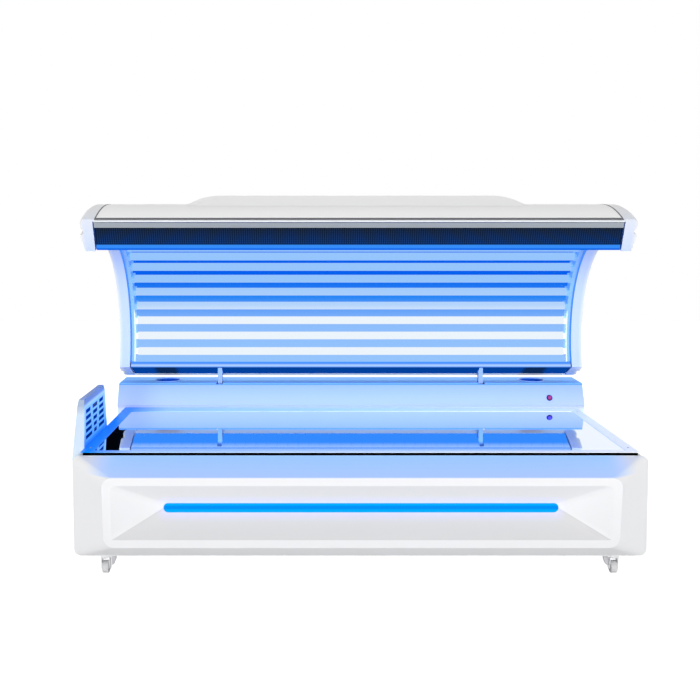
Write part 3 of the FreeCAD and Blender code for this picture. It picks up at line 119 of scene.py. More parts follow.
def buildMouldedSkin():
    # fine orange peel of moulded or sprayed skins, with slow changes of tone and sheen
    group, given, result = newGroup(
        "mouldedSkin",
        [("Color", "NodeSocketColor", (0.8, 0.8, 0.8, 1)), ("Tone", "NodeSocketFloat", 0.03),
         ("Roughness", "NodeSocketFloat", 0.3), ("Grain", "NodeSocketFloat", 900.0),
         ("Depth", "NodeSocketFloat", 0.02)],
        [("Color", "NodeSocketColor"), ("Roughness", "NodeSocketFloat"), ("Normal", "NodeSocketVector")])
    place = group.nodes.new("ShaderNodeTexCoord")
    cloud = group.nodes.new("ShaderNodeTexNoise")
    cloud.inputs["Scale"].default_value = 3.0
    cloud.inputs["Detail"].default_value = 3.0
    grain = group.nodes.new("ShaderNodeTexNoise")
    grain.inputs["Detail"].default_value = 2.0
    shade = group.nodes.new("ShaderNodeMath")
    shade.operation = "MULTIPLY_ADD"             # 1 + (noise - 0.5) * tone
    centred = group.nodes.new("ShaderNodeMath")
    centred.operation = "SUBTRACT"
    centred.inputs[1].default_value = 0.5
    shade.inputs[2].default_value = 1.0
    tinted = group.nodes.new("ShaderNodeVectorMath")
    tinted.operation = "SCALE"
    sheen = group.nodes.new("ShaderNodeMath")
    sheen.operation = "MULTIPLY_ADD"
    sheen.inputs[1].default_value = 0.04
    bump = group.nodes.new("ShaderNodeBump")
    bump.inputs["Distance"].default_value = 0.0004
    link(group, place.outputs["Object"], cloud.inputs["Vector"])
    link(group, place.outputs["Object"], grain.inputs["Vector"])
    link(group, given.outputs["Grain"], grain.inputs["Scale"])
    link(group, cloud.outputs["Fac"], centred.inputs[0])
    link(group, centred.outputs[0], shade.inputs[0])
    link(group, given.outputs["Tone"], shade.inputs[1])
    link(group, given.outputs["Color"], tinted.inputs[0])
    link(group, shade.outputs[0], tinted.inputs["Scale"])
    link(group, centred.outputs[0], sheen.inputs[0])
    link(group, given.outputs["Roughness"], sheen.inputs[2])
    link(group, grain.outputs["Fac"], bump.inputs["Height"])
    link(group, given.outputs["Depth"], bump.inputs["Strength"])
    link(group, tinted.outputs[0], result.inputs["Color"])
    link(group, sheen.outputs[0], result.inputs["Roughness"])
    link(group, bump.outputs[0], result.inputs["Normal"])
    return group


def buildBrushedMetal():
    # long streaks along X, as left by drawing or brushing
    group, given, result = newGroup(
        "brushedMetal",
        [("Color", "NodeSocketColor", (0.6, 0.6, 0.6, 1)), ("Roughness", "NodeSocketFloat", 0.3),
         ("Streaks", "NodeSocketFloat", 260.0), ("Depth", "NodeSocketFloat", 0.1)],
        [("Color", "NodeSocketColor"), ("Roughness", "NodeSocketFloat"), ("Normal", "NodeSocketVector")])
    place = group.nodes.new("ShaderNodeTexCoord")
    stretch = group.nodes.new("ShaderNodeMapping")
    stretch.inputs["Scale"].default_value = (0.02, 1.0, 1.0)
    streak = group.nodes.new("ShaderNodeTexNoise")
    streak.inputs["Detail"].default_value = 4.0
    change = group.nodes.new("ShaderNodeMapRange")
    change.inputs["To Min"].default_value = 0.9
    change.inputs["To Max"].default_value = 1.08
    tinted = group.nodes.new("ShaderNodeVectorMath")
    tinted.operation = "SCALE"
    sheen = group.nodes.new("ShaderNodeMath")
    sheen.operation = "MULTIPLY"
    bump = group.nodes.new("ShaderNodeBump")
    bump.inputs["Distance"].default_value = 0.0002
    link(group, place.outputs["Object"], stretch.inputs["Vector"])
    link(group, stretch.outputs[0], streak.inputs["Vector"])
    link(group, given.outputs["Streaks"], streak.inputs["Scale"])
    link(group, streak.outputs["Fac"], change.inputs["Value"])
    link(group, given.outputs["Color"], tinted.inputs[0])
    link(group, change.outputs[0], tinted.inputs["Scale"])
    link(group, given.outputs["Roughness"], sheen.inputs[0])
    link(group, change.outputs[0], sheen.inputs[1])
    link(group, streak.outputs["Fac"], bump.inputs["Height"])
    link(group, given.outputs["Depth"], bump.inputs["Strength"])
    link(group, tinted.outputs[0], result.inputs["Color"])
    link(group, sheen.outputs[0], result.inputs["Roughness"])
    link(group, bump.outputs[0], result.inputs["Normal"])
    return group


skinGroup = buildMouldedSkin()
metalGroup = buildBrushedMetal()


def newMaterial(name):
    material = bpy.data.materials.new(name)
    material.use_nodes = True
    tree = material.node_tree
    return material, tree, tree.nodes["Principled BSDF"]


def moulded(name, color, roughness=0.3, tone=0.03, grain=900.0, depth=0.02, coat=0.0, specular=0.5):
    material, tree, surface = newMaterial(name)
    skin = tree.nodes.new("ShaderNodeGroup")
    skin.node_tree = skinGroup
    skin.inputs["Color"].default_value = fromHex(color)
    skin.inputs["Roughness"].default_value = roughness
    skin.inputs["Tone"].default_value = tone
    skin.inputs["Grain"].default_value = grain
    skin.inputs["Depth"].default_value = depth
    link(tree, skin.outputs["Color"], surface.inputs["Base Color"])
    link(tree, skin.outputs["Roughness"], surface.inputs["Roughness"])
    link(tree, skin.outputs["Normal"], surface.inputs["Normal"])
    surface.inputs["Coat Weight"].default_value = coat
    surface.inputs["Coat Roughness"].default_value = 0.08
    surface.inputs["Specular IOR Level"].default_value = specular
    return material


def metal(name, color, roughness=0.3, streaks=260.0, depth=0.1):
    material, tree, surface = newMaterial(name)
    brushed = tree.nodes.new("ShaderNodeGroup")
    brushed.node_tree = metalGroup
    brushed.inputs["Color"].default_value = fromHex(color)
    brushed.inputs["Roughness"].default_value = roughness
    brushed.inputs["Streaks"].default_value = streaks
    brushed.inputs["Depth"].default_value = depth
    link(tree, brushed.outputs["Color"], surface.inputs["Base Color"])
    link(tree, brushed.outputs["Roughness"], surface.inputs["Roughness"])
    link(tree, brushed.outputs["Normal"], surface.inputs["Normal"])
    surface.inputs["Metallic"].default_value = 1.0
    return material


def axisRamp(tree, stops, axis="Z"):
    # colour by place along one of the object's own axes, in metres
    low, high = stops[0][0], stops[-1][0]
    ramp = tree.nodes.new("ShaderNodeValToRGB")
    link(tree, ranged(tree, ownPlace(tree)[axis], low, high), ramp.inputs["Fac"])
    elements = ramp.color_ramp.elements
    for index, (where, color) in enumerate(stops):
        spot = (where - low) / (high - low)
        element = (elements[0] if index == 0 else
                   elements[-1] if index == len(stops) - 1 else elements.new(spot))
        element.position = spot
        element.color = fromHex(color)
    return ramp.outputs["Color"]


def seenShare(tree):
    # 1 for what the eye sees, straight, mirrored or through a clear sheet, and 0 for cast light
    path = tree.nodes.new("ShaderNodeLightPath").outputs
    direct = reckoned(tree, "MAXIMUM", path["Is Camera Ray"], path["Is Glossy Ray"])
    return reckoned(tree, "MAXIMUM", direct, path["Is Transmission Ray"])


def mirrorRay(tree):
    return tree.nodes.new("ShaderNodeLightPath").outputs["Is Glossy Ray"]


def blended(tree, factor, first, second, kind="MIX"):
    mix = tree.nodes.new("ShaderNodeMix")
    mix.data_type = "RGBA"
    mix.blend_type = kind
    for label, given in (("Factor", factor), ("A", first), ("B", second)):
        if isinstance(given, str):
            mix.inputs[label].default_value = fromHex(given)
        elif isinstance(given, float):
            mix.inputs[label].default_value = given
        else:
            link(tree, given, mix.inputs[label])
    return mix.outputs["Result"]


def glowing(name, stops, cast=1.0, castColor="3f8cff", mirrored=None, roughness=0.3, spots=None):
    # shows its own colours by emission, another one in mirrors, and lights its surroundings with a third;
    # on parts that are no lamps this emission is a painted glow, and the mirror colour is a painted
    # reflection
    material, tree, surface = newMaterial(name)
    color = axisRamp(tree, stops)
    share = seenShare(tree)
    if spots:
        # dim patches around a place to the left and one to the right
        away = reckoned(tree, "ABSOLUTE", ownPlace(tree)["X"])
        apart = reckoned(tree, "ABSOLUTE", reckoned(tree, "SUBTRACT", away, spots["x"]))
        near = ranged(tree, apart, spots["reach"] * (1 - spots["soft"]),
                      spots["reach"] * (1 + spots["soft"]), 1.0, 0.0, smooth=True)
        color = blended(tree, near, color, spots["color"])
    if mirrored:
        color = blended(tree, mirrorRay(tree), color, axisRamp(tree, mirrored))
    link(tree, blended(tree, share, castColor, color), surface.inputs["Emission Color"])
    link(tree, ranged(tree, share, toMin=cast), surface.inputs["Emission Strength"])
    surface.inputs["Base Color"].default_value = fromHex("050505")
    surface.inputs["Roughness"].default_value = roughness
    surface.inputs["Specular IOR Level"].default_value = 0.0
    return material


def washed(name, stops, axis="Z", glow=0.0, roughness=0.3, specular=0.3, limits=None,
           plain="f4f4f4", above=None):
    # a moulded skin with the light on it painted into its colour along one axis, between limits of another;
    # glow shows the same painted light as emission
    material = moulded(name, "f4f4f4", roughness=roughness, tone=0.01, specular=specular)
    tree = material.node_tree
    color = light = axisRamp(tree, stops, axis)
    if limits:
        away = reckoned(tree, "ABSOLUTE", ownPlace(tree)[limits[0]])
        beyond = ranged(tree, away, limits[1], limits[2], smooth=True)
        light = blended(tree, beyond, color, "000000")
        color = blended(tree, beyond, color, plain if isinstance(plain, str) else axisRamp(tree, plain))
    link(tree, color, skinOf(material).inputs["Color"])
    if glow:
        if above:
            edge = ranged(tree, ownPlace(tree)["Z"], *above)
            light = blended(tree, edge, "000000", light)
        surface = surfaceOf(material)
        link(tree, light, surface.inputs["Emission Color"])
        link(tree, reckoned(tree, "MULTIPLY", seenShare(tree), glow), surface.inputs["Emission Strength"])
    return material


# the light bar's painted halo on the front panel
halo = {"halfX": 0.765, "z": 0.2942, "halfZ": 0.008, "reach": 0.055, "color": "8474ff"}


def haloed(material):
    # a painted glow: the light bar's violet-white fringe of light, added to the panel's emission around the
    # bar
    tree = material.node_tree
    target = surfaceOf(material).inputs["Emission Color"]
    joined = tree.nodes.new("ShaderNodeCombineXYZ")
    for axis, middle, half in (("X", 0.0, halo["halfX"]), ("Z", halo["z"], halo["halfZ"])):
        away = reckoned(tree, "ABSOLUTE", reckoned(tree, "SUBTRACT", ownPlace(tree)[axis], middle))
        beyond = reckoned(tree, "MAXIMUM", reckoned(tree, "SUBTRACT", away, half), 0.0)
        link(tree, beyond, joined.inputs[axis])
    reach = tree.nodes.new("ShaderNodeVectorMath")
    reach.operation = "LENGTH"
    link(tree, joined.outputs[0], reach.inputs[0])
    fade = ranged(tree, reach.outputs["Value"], 0.0, halo["reach"], 1.0, 0.0, smooth=True)
    link(tree, blended(tree, fade, target.links[0].from_socket, halo["color"]), target)
    return material


# the trough's lower slope, whose painted shade is the tone multiplied in
trough = {"low": 0.183, "rise": 0.111, "half": 0.972, "run": 0.194, "tone": "e6e6e6"}


def troughPaintedShade(material):
    # painted shade: the trough's lower slope is made greyer than the rest, where less light falls
    tree = material.node_tree
    target = skinOf(material).inputs["Color"]
    place = ownPlace(tree)
    above = reckoned(tree, "DIVIDE", reckoned(tree, "SUBTRACT", place["Z"], trough["low"]), trough["rise"])
    away = reckoned(tree, "ABSOLUTE", place["X"])
    inward = reckoned(tree, "DIVIDE", reckoned(tree, "SUBTRACT", trough["half"], away), trough["run"])
    inside = reckoned(tree, "MULTIPLY", reckoned(tree, "GREATER_THAN", above, 0.0),
                      reckoned(tree, "GREATER_THAN", 1.0, above))
    lower = reckoned(tree, "MULTIPLY", inside, reckoned(tree, "GREATER_THAN", inward, above))
    shade = blended(tree, lower, "ffffff", trough["tone"])
    link(tree, blended(tree, 1.0, target.links[0].from_socket, shade, kind="MULTIPLY"), target)
    return material


def sheetMaterial(name, color, roughness):
    # a smooth skin without grain
    material, tree, surface = newMaterial(name)
    skin = tree.nodes.new("ShaderNodeGroup")
    skin.node_tree = skinGroup
    skin.inputs["Color"].default_value = fromHex(color)
    skin.inputs["Depth"].default_value = 0.0
    link(tree, skin.outputs["Color"], surface.inputs["Base Color"])
    surface.inputs["Roughness"].default_value = roughness
    return material, tree, surface


def clearSheet(name, color, alpha, edge, edgeFrom):
    # a clear sheet whose ends are made opaque with a painted blue glow, standing in for the lamps' light
    # they gather
    material, tree, surface = sheetMaterial(name, color, 0.05)
    away = reckoned(tree, "ABSOLUTE", ownPlace(tree)["X"])
    ends = reckoned(tree, "GREATER_THAN", away, edgeFrom)
    link(tree, ranged(tree, ends, toMin=alpha), surface.inputs["Alpha"])
    link(tree, ends, surface.inputs["Emission Strength"])
    surface.inputs["Emission Color"].default_value = fromHex(edge)
    surface.inputs["IOR"].default_value = 1.49
    surface.inputs["Specular IOR Level"].default_value = 0.2
    return material


def mirrorDeck(name):
    # the lying sheet, which mirrors the lit canopy and console
    material, _, surface = sheetMaterial(name, "e8f2ff", 0.03)
    skinOf(material).inputs["Tone"].default_value = 0.02
    surface.inputs["Metallic"].default_value = 1.0
    return material


def paintedHighlightAbove(material, level, color):
    # a painted highlight: a pale strip above a level, not metal, standing in for the light along the rail's
    # upper edge, with bare metal below it
    tree = material.node_tree
    surface = surfaceOf(material)
    target = surface.inputs["Base Color"]
    bare = reckoned(tree, "LESS_THAN", ownPlace(tree)["Z"], level)
    link(tree, blended(tree, bare, color, target.links[0].from_socket), target)
    link(tree, bare, surface.inputs["Metallic"])
    return material


def paintedReflectionAs(material, color):
    # a painted reflection: shows another colour in mirrors
    tree = material.node_tree
    target = surfaceOf(material).inputs["Base Color"]
    link(tree, blended(tree, mirrorRay(tree), target.links[0].from_socket, color), target)
    return material


finishes = {
    "casingWhite": moulded("casingWhite", "f6f6f6", roughness=0.4, tone=0.01, specular=0.3),
    "cowlGrey": moulded("cowlGrey", "ebebeb", roughness=0.4, tone=0.01, specular=0.3),
    "socketWhite": moulded("socketWhite", "cfe2fb", roughness=0.4),
    # painted lamp light and painted glow on the canopy's lamp holders
    "socketLit": washed("socketLit", [(0.7, "f0f8ff"), (0.96, "f0f8ff"), (0.99, "88b8f8"), (1.4, "88b8f8")],
                        limits=("X", 1.074, 1.08), plain="98c8f8", glow=0.2, roughness=0.4, specular=0.2),
    "rubberBlack": moulded("rubberBlack", "020203", roughness=0.8, grain=500, depth=0.2, specular=0.02),
    "plasticBlack": moulded("plasticBlack", "0c1a3c", roughness=0.45, grain=600, depth=0.1),
    "collarBlue": moulded("collarBlue", "16244e", roughness=0.35, specular=0.2),
    # the stop button shows a painted violet-blue reflection in mirrors
    "buttonRed": paintedReflectionAs(moulded("buttonRed", "b02c7c", roughness=0.25, coat=0.3), "5a4ce0"),
    "casterWhite": moulded("casterWhite", "ececee", roughness=0.35),
    "wheelGrey": moulded("wheelGrey", "dededf", roughness=0.4),
    "pedalGrey": moulded("pedalGrey", "c9c9cc", roughness=0.35),
    # the arms: painted blue lamp light in their colour, and a painted reflection colour in mirrors
    "armPaintedLight": paintedReflectionAs(moulded("armPaintedLight", "a3c6fb", roughness=0.35, specular=0.2), "8fc4ff"),
    "framePaint": moulded("framePaint", "3a3c40", roughness=0.5, grain=500, depth=0.15),
    "gasketGrey": moulded("gasketGrey", "717276", roughness=0.7, grain=500, depth=0.2, specular=0.1),
    # painted blue glow in the rail's holes
    "holePaintedGlow": glowing("holePaintedGlow", [(1.325, "104898"), (1.40, "203048")], cast=0.0),
    "cardBlack": moulded("cardBlack", "020409", roughness=0.8, specular=0.0),
    # the rail's upper edge carries a painted highlight
    "railSilver": paintedHighlightAbove(metal("railSilver", "969ca3", roughness=0.32), 1.4205, "ebeef2"),
    "millAluminium": metal("millAluminium", "c9ccd0", roughness=0.35),
    "zincSheet": metal("zincSheet", "a4a8ad", roughness=0.45, streaks=90.0),
    "screwSteel": metal("screwSteel", "a9adb3", roughness=0.3),
    "springSteel": metal("springSteel", "5c5d60", roughness=0.4),
    "brassBush": metal("brassBush", "c7a55c", roughness=0.3),
    "polishedAluminium": metal("polishedAluminium", "e2e6ea", roughness=0.12, depth=0.03),
    "deckMirror": mirrorDeck("deckMirror"),
    # painted blue glow at the sheet's ends
    "canopyClear": clearSheet("canopyClear", "203a6a", 0.02, "3a86f6", 1.0905),
    # skins with the lamps' blue light painted into their colours, parts with a painted glow, and the lamps
    # and light bar, which glow for real
    # the front panel: painted blue lamp light and painted glow on the top bevel, the bar's painted halo and
    # the trough's painted shade
    "panelPaintedLight": troughPaintedShade(haloed(washed(
        "panelPaintedLight", [(0.433, "f8f8f8"), (0.437, "b8d0f8"), (0.488, "a8d0ff")], limits=("X", 0.96, 1.1),
        glow=0.25, above=(0.434, 0.436), roughness=0.45, specular=0.2, plain="f8f8f8"))),
    # the console: painted blue lamp light and painted glow down its face, with a painted reflection band
    # near the top front edge
    "consoleLit": washed("consoleLit", [(0.49, "d8e8ff"), (0.51, "b8c8ff"), (0.605, "98b4ff"),
                                        (0.61, "4090ff"), (0.615, "88c0ff")],
                         limits=("Y", 0.638, 0.644), plain="f0f0f8", glow=0.25, roughness=0.5,
                         specular=0.02),
    # the tower: painted blue lamp light and a strong painted glow on its inner face, and painted shade
    # darker towards the top outside
    "towerPaintedLight": washed("towerPaintedLight", [(0.44, "2080ff"), (0.52, "2080ff"), (0.56, "90c0ff"),
                                        (0.691, "a8c8f8")],
                         limits=("X", 1.1225, 1.1245), glow=0.72, specular=0.05,
                         plain=[(0.44, "d8e8f8"), (0.63, "d0e0f0"), (0.665, "b0c0d8")]),
    # painted blue lamp light and painted glow on the tower's grille
    "grilleLit": washed("grilleLit", [(0.50, "50a0ff"), (0.66, "88c0ff")], glow=0.6, specular=0.05),
    # painted blue glow for the well behind the tower's grille
    "wellPaintedGlow": glowing("wellPaintedGlow", [(0.50, "002878"), (0.66, "0040b0")], cast=0.0),
    # painted blue lamp light and painted glow on the console's vents
    "ventLit": washed("ventLit", [(0.595, "0840c0"), (0.611, "1860e8"), (0.6145, "88b8ff")],
                      glow=0.15, specular=0.1),
    # the canopy end caps: painted blue lamp light on their inner faces and lower outside
    "capPaintedLight": washed("capPaintedLight", [(0.6, "c8d8f8"), (1.28, "c8d8f8"), (1.5, "e8e8e8")],
                       limits=("X", 1.13, 1.15), specular=0.15, plain=[(0.6, "e0e8f0"), (1.5, "e8e8e8")]),
    # painted lamp light along the deck rim, deep blue at its left end, and painted glow
    "rimLit": washed("rimLit", [(-1.118, "0088f0"), (-1.085, "0090f8"), (-0.9, "b8d8ff"),
                                (1.118, "f8f8ff")],
                     axis="X", glow=0.25, specular=0.1),
    # the rail's dark strip shown by a painted navy glow, darker towards the top
    "railGrillePaintedGlow": glowing("railGrillePaintedGlow", [(1.325, "082450"), (1.401, "101820")], cast=0.0, roughness=0.5),
    # the tail grille: a painted blue glow with dim patches, and a painted reflection colour in mirrors
    "tailPaintedGlow": glowing("tailPaintedGlow", [(0.65, "0040a0"), (0.703, "004098")], cast=0.2,
                         spots={"x": 0.925, "reach": 0.055, "soft": 0.3, "color": "082858"},
                         mirrored=[(0.65, "3890ff"), (0.683, "3890ff"), (0.703, "b8d8ff")]),
    # painted glow on the acrylic retainers, with painted highlight and shade lines along the strips
    "retainerLit": glowing("retainerLit", [(0.698, "3088ff"), (0.7085, "b8d8ff"), (0.7195, "2080ff"),
                                           (0.728, "78b8ff"), (1.298, "1878f0"), (1.308, "0868e8"),
                                           (1.314, "3890ff"), (1.335, "3080e0")], cast=0.5),
    # painted blue glow on the canopy frame, which is no lamp
    "frameGlow": glowing("frameGlow", [(0.65, "2878f0"), (1.5, "1058d8")], cast=0.2),
    "lampGlow": glowing("lampGlow", [(0.75, "f0f8ff"), (0.95, "f0f8ff"), (1.01, "b8d8ff"),
                                     (1.14, "98c8ff")], cast=4.0, castColor="4890ff"),
    # painted reflection of the lamps, shown as a glow on the reflector, which is no lamp
    "reflectorGlow": glowing("reflectorGlow", [(0.72, "98c8ff"), (0.9, "90c0ff"), (1.045, "2888f8"),
                                               (1.16, "0060f0")], cast=0.6),
    "barGlow": glowing("barGlow", [(0.284, "00b0ff"), (0.291, "0090f8"), (0.299, "0090f8"),
                                   (0.306, "00b0ff")],
                       cast=1.2, castColor="40a0ff"),
}

corners = ("front_left", "front_right", "rear_left", "rear_right")
paint = {
    "casingWhite": ["end_shell_left", "end_shell_right", "rear_panel", "canopy_shell"],
    "panelPaintedLight": ["front_panel"],
    "consoleLit": ["console_shell"],
    "towerPaintedLight": ["tower_shell"],
    "capPaintedLight": ["canopy_end_left", "canopy_end_right"],
    "cowlGrey": ["canopy_cowl"],
    "rimLit": ["deck_rim"],
    "ventLit": ["console_vents"],
    "grilleLit": ["tower_grille"],
    "socketWhite": ["deck_lamp_holders"],
    "socketLit": ["canopy_lamp_holders"],
    "rubberBlack": ["deck_seal"],
    "plasticBlack": ["power_gland", "fan_frames", "console_fan_left", "console_fan_right",
                     "tower_fan_rotor"],
    "railGrillePaintedGlow": ["rail_grille"],
    "tailPaintedGlow": ["tail_grille"],
    "collarBlue": ["stop_button_collar"],
    "buttonRed": ["stop_button_cap"],
    "casterWhite": ["caster_mounts"] + ["caster_fork_" + corner for corner in corners],
    "wheelGrey": ["caster_wheel_" + corner for corner in corners],
    "pedalGrey": ["brake_pedal_front_left", "brake_pedal_front_right"],
    "armPaintedLight": ["canopy_arms"],
    "framePaint": ["chassis_frame", "hinge_brackets"],
    "railSilver": ["front_rail"],
    "millAluminium": ["led_channel", "deck_lamp_caps"],
    "frameGlow": ["canopy_frame"],
    "zincSheet": ["belly_pan", "ballasts", "console_floor", "control_box"],
    "screwSteel": ["deck_screws", "hinge_pins"],
    "springSteel": ["hinge_springs"],
    "brassBush": ["arm_bushes"],
    "polishedAluminium": ["deck_reflector"],
    "deckMirror": ["deck_acrylic"],
    "canopyClear": ["canopy_acrylic"],
    "lampGlow": ["canopy_lamps", "canopy_lamp_caps", "deck_lamps"],
    "reflectorGlow": ["canopy_reflector"],
    "retainerLit": ["acrylic_retainers"],
    "barGlow": ["led_lens"],
}
for finish, names in paint.items():
    for name in names:
        nodes[name].data.materials.clear()
        nodes[name].data.materials.append(finishes[finish])
unpainted = sorted(set(nodes) - {name for names in paint.values() for name in names})
print("materials set, nodes left bare:", unpainted)


# pieces on the canopy: its arc in the frame's own metres
arc = {"y": 0.538 - footprint, "z": 0.828, "inner": 0.523, "outer": 0.670, "rail": 116.0, "tail": -11.0}


def arcPlace(radius, angle, forward=0.0):
    turn = math.radians(angle)
    return (arc["y"] + radius * math.cos(turn) - forward * math.sin(turn),
            arc["z"] + radius * math.sin(turn) + forward * math.cos(turn))


def addPiece(name, mesh, material, body):
    piece = bpy.data.objects.new(name, mesh)
    mesh.materials.clear()
    mesh.materials.append(material)
    scene.collection.objects.link(piece)
    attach(piece, body)
    return piece


def sweptMesh(name, rings):
    # a tube through rings of equal point counts, capped at both ends
    mesh = bpy.data.meshes.new(name)
    form = bmesh.new()
    rows = [[form.verts.new(point) for point in ring] for ring in rings]
    count = len(rings[0])
    for first, second in zip(rows, rows[1:]):
        for index in range(count):
            after = (index + 1) % count
            form.faces.new((first[index], first[after], second[after], second[index]))
    form.faces.new(rows[0])
    form.faces.new(rows[-1][::-1])
    bmesh.ops.recalc_face_normals(form, faces=form.faces)
    form.to_mesh(mesh)
    form.free()
    return mesh


def arcStrip(name, x0, x1, low, high, start, end, steps=72):
    # a flat strip from x0 to x1 that follows the canopy's arc
    rings = []
    for index in range(steps + 1):
        angle = start + (end - start) * index / steps
        corner = ((x0, low), (x1, low), (x1, high), (x0, high))
        rings.append([(x, *arcPlace(radius, angle)) for x, radius in corner])
    return sweptMesh(name, rings)


def railStrip(name, outline, half):
    # an outline of (radius, forward) points drawn along the front rail
    return sweptMesh(name, [[(x, *arcPlace(radius, arc["rail"], forward)) for radius, forward in outline]
                            for x in (-half, half)])


# gasket lines between the shell and its end caps, and above the rail
gasket = {"seamX": 1.0861, "width": 0.0052, "lift": 0.0001, "stand": 0.0008, "endShort": 0.3,
          "railHalf": 1.088, "railBack": -0.0148, "railFront": 0.0026, "slopeBack": 0.0003,
          "slopeFront": 0.0002}


def addGaskets():
    low, high = arc["outer"] + gasket["lift"], arc["outer"] + gasket["stand"]
    half = gasket["width"] / 2
    for side, word in ((-1, "Left"), (1, "Right")):
        name = "capGasket" + word
        middle = side * gasket["seamX"]
        mesh = arcStrip(name, middle - half, middle + half, low, high, arc["tail"],
                        arc["rail"] - gasket["endShort"])
        addPiece(name, mesh, finishes["gasketGrey"], "canopy")
    outline = [(low, gasket["railBack"]), (high, gasket["railBack"] + gasket["slopeBack"]),
               (high, gasket["railFront"] - gasket["slopeFront"]), (low, gasket["railFront"])]
    addPiece("railGasket", railStrip("railGasket", outline, gasket["railHalf"]),
             finishes["gasketGrey"], "canopy")


addGaskets()


# dust filter behind the tower's grille, shown by a painted blue glow
filterPad = {"x0": -1.1278, "x1": -1.1268, "y0": -0.398, "y1": -0.037, "z0": 0.516, "z1": 0.651}


def addFilterPad():
    pad = filterPad
    rings = [[(x, pad["y0"], pad["z0"]), (x, pad["y1"], pad["z0"]),
              (x, pad["y1"], pad["z1"]), (x, pad["y0"], pad["z1"])] for x in (pad["x0"], pad["x1"])]
    addPiece("filterPad", sweptMesh("filterPad", rings), finishes["wellPaintedGlow"], "base")


addFilterPad()


# rows of small round holes in the rail's dark strip, laid out by a node tree, with a painted blue glow in
# them
holes = {"pitch": 0.0091, "rows": 8, "columns": 239, "radius": 0.0027, "depth": 0.0005,
         "middle": 0.5915, "forward": -0.0049, "sides": 8}


def holeField():
    group = bpy.data.node_groups.new("holeField", "GeometryNodeTree")
    group.interface.new_socket("Geometry", in_out="OUTPUT", socket_type="NodeSocketGeometry")
    made = group.nodes
    result = made.new("NodeGroupOutput")
    grid = made.new("GeometryNodeMeshGrid")
    grid.inputs["Size X"].default_value = holes["pitch"] * (holes["columns"] - 1)
    grid.inputs["Size Y"].default_value = holes["pitch"] * (holes["rows"] - 1)
    grid.inputs["Vertices X"].default_value = holes["columns"]
    grid.inputs["Vertices Y"].default_value = holes["rows"]
    disc = made.new("GeometryNodeMeshCylinder")
    disc.inputs["Vertices"].default_value = holes["sides"]
    disc.inputs["Radius"].default_value = holes["radius"]
    disc.inputs["Depth"].default_value = holes["depth"]
    spread = made.new("GeometryNodeInstanceOnPoints")
    real = made.new("GeometryNodeRealizeInstances")
    place = made.new("GeometryNodeTransform")
    middle = arcPlace(holes["middle"], arc["rail"], holes["forward"])
    place.inputs["Translation"].default_value = (0, *middle)
    place.inputs["Rotation"].default_value = (math.radians(arc["rail"]), 0, 0)
    tinted = made.new("GeometryNodeSetMaterial")
    tinted.inputs["Material"].default_value = finishes["holePaintedGlow"]
    link(group, grid.outputs["Mesh"], spread.inputs["Points"])
    link(group, disc.outputs["Mesh"], spread.inputs["Instance"])
    link(group, spread.outputs[0], real.inputs[0])
    link(group, real.outputs[0], place.inputs["Geometry"])
    link(group, place.outputs[0], tinted.inputs["Geometry"])
    link(group, tinted.outputs[0], result.inputs[0])
    return group


def addHoles():
    carrier = bpy.data.objects.new("holeCarrier", bpy.data.meshes.new("holeCarrier"))
    scene.collection.objects.link(carrier)
    carrier.modifiers.new("holes", "NODES").node_group = holeField()
    ready = carrier.evaluated_get(bpy.context.evaluated_depsgraph_get())
    mesh = bpy.data.meshes.new_from_object(ready)
    bpy.data.objects.remove(carrier)
    mesh.name = "railHoles"
    addPiece("railHoles", mesh, finishes["holePaintedGlow"], "canopy")


addHoles()
print("pieces added")


# room
room = {"floorHalf": 9.0, "floorTone": 0.65, "floorShown": 0.93, "ambient": 0.33}
suns = {"frontSun": {"toward": (-0.02, -1.0, 0.06), "strength": 2.68, "spread": 25},
        "topSun": {"toward": (0.0, 0.69, 0.72), "strength": 0.9, "spread": 30}}
darkCard = {"x0": -1.62, "x1": -1.10, "y": 1.55, "z0": 0.53, "z1": 1.24}


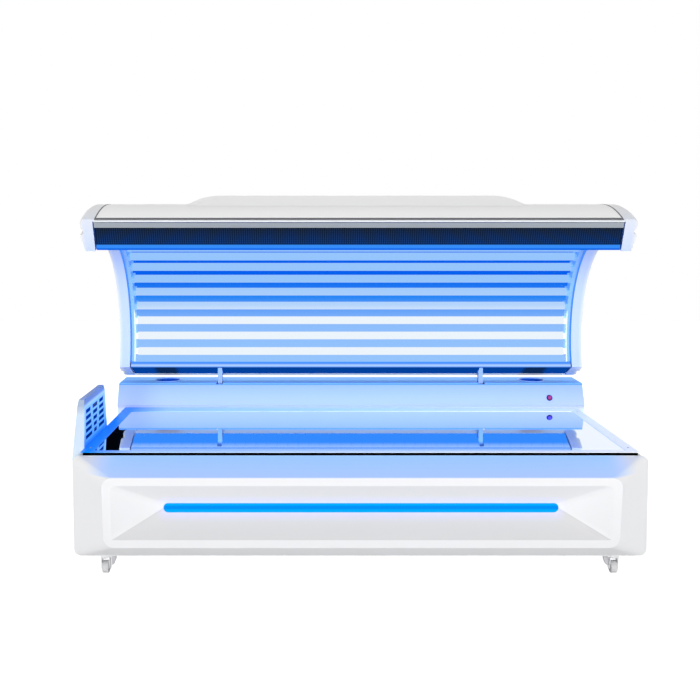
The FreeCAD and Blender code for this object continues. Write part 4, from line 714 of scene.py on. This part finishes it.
def setUpWorld():
    world = bpy.data.worlds.new("paleRoom")
    scene.world = world
    world.use_nodes = True
    tree = world.node_tree
    background = tree.nodes["Background"]
    background.inputs["Color"].default_value = (1, 1, 1, 1)
    link(tree, ranged(tree, seenShare(tree), toMin=room["ambient"]), background.inputs["Strength"])


def floorMaterial():
    material, tree, surface = newMaterial("paleFloor")
    tree.nodes.remove(surface)
    tone = room["floorTone"]
    matte = tree.nodes.new("ShaderNodeBsdfDiffuse")
    matte.inputs["Color"].default_value = (tone, tone, tone, 1)
    shown = tree.nodes.new("ShaderNodeEmission")
    total = tree.nodes.new("ShaderNodeAddShader")
    path = tree.nodes.new("ShaderNodeLightPath").outputs
    direct = reckoned(tree, "MAXIMUM", path["Is Camera Ray"], path["Is Glossy Ray"])
    link(tree, reckoned(tree, "MULTIPLY", direct, room["floorShown"]), shown.inputs["Strength"])
    link(tree, matte.outputs[0], total.inputs[0])
    link(tree, shown.outputs[0], total.inputs[1])
    link(tree, total.outputs[0], tree.nodes["Material Output"].inputs["Surface"])
    return material


def addStage(name, corners, material):
    # one four-sided sheet that belongs to the room
    mesh = bpy.data.meshes.new(name)
    mesh.from_pydata(corners, [], [(0, 1, 2, 3)])
    mesh.materials.append(material)
    sheet = bpy.data.objects.new(name, mesh)
    scene.collection.objects.link(sheet)
    return sheet


def addFloor():
    half = room["floorHalf"]
    addStage("paleFloor", [(-half, -half, 0), (half, -half, 0), (half, half, 0), (-half, half, 0)],
             floorMaterial())


def addSun(name, toward, strength, spread):
    # soft light that comes from the direction that toward points to
    data = bpy.data.lights.new(name, "SUN")
    data.energy = strength
    data.angle = math.radians(spread)
    light = bpy.data.objects.new(name, data)
    light.rotation_euler = Vector(toward).to_track_quat("Z", "Y").to_euler()
    light.visible_glossy = False
    scene.collection.objects.link(light)


def addDarkCard():
    # a dark card that only mirrors see
    x0, x1, y, z0, z1 = (darkCard[key] for key in ("x0", "x1", "y", "z0", "z1"))
    card = addStage("darkCard", [(x0, y, z0), (x1, y, z0), (x1, y, z1), (x0, y, z1)], finishes["cardBlack"])
    card.visible_camera = False
    card.visible_diffuse = False
    card.visible_shadow = False


setUpWorld()
addFloor()
for name, sun in suns.items():
    addSun(name, **sun)
addDarkCard()
print("room set")
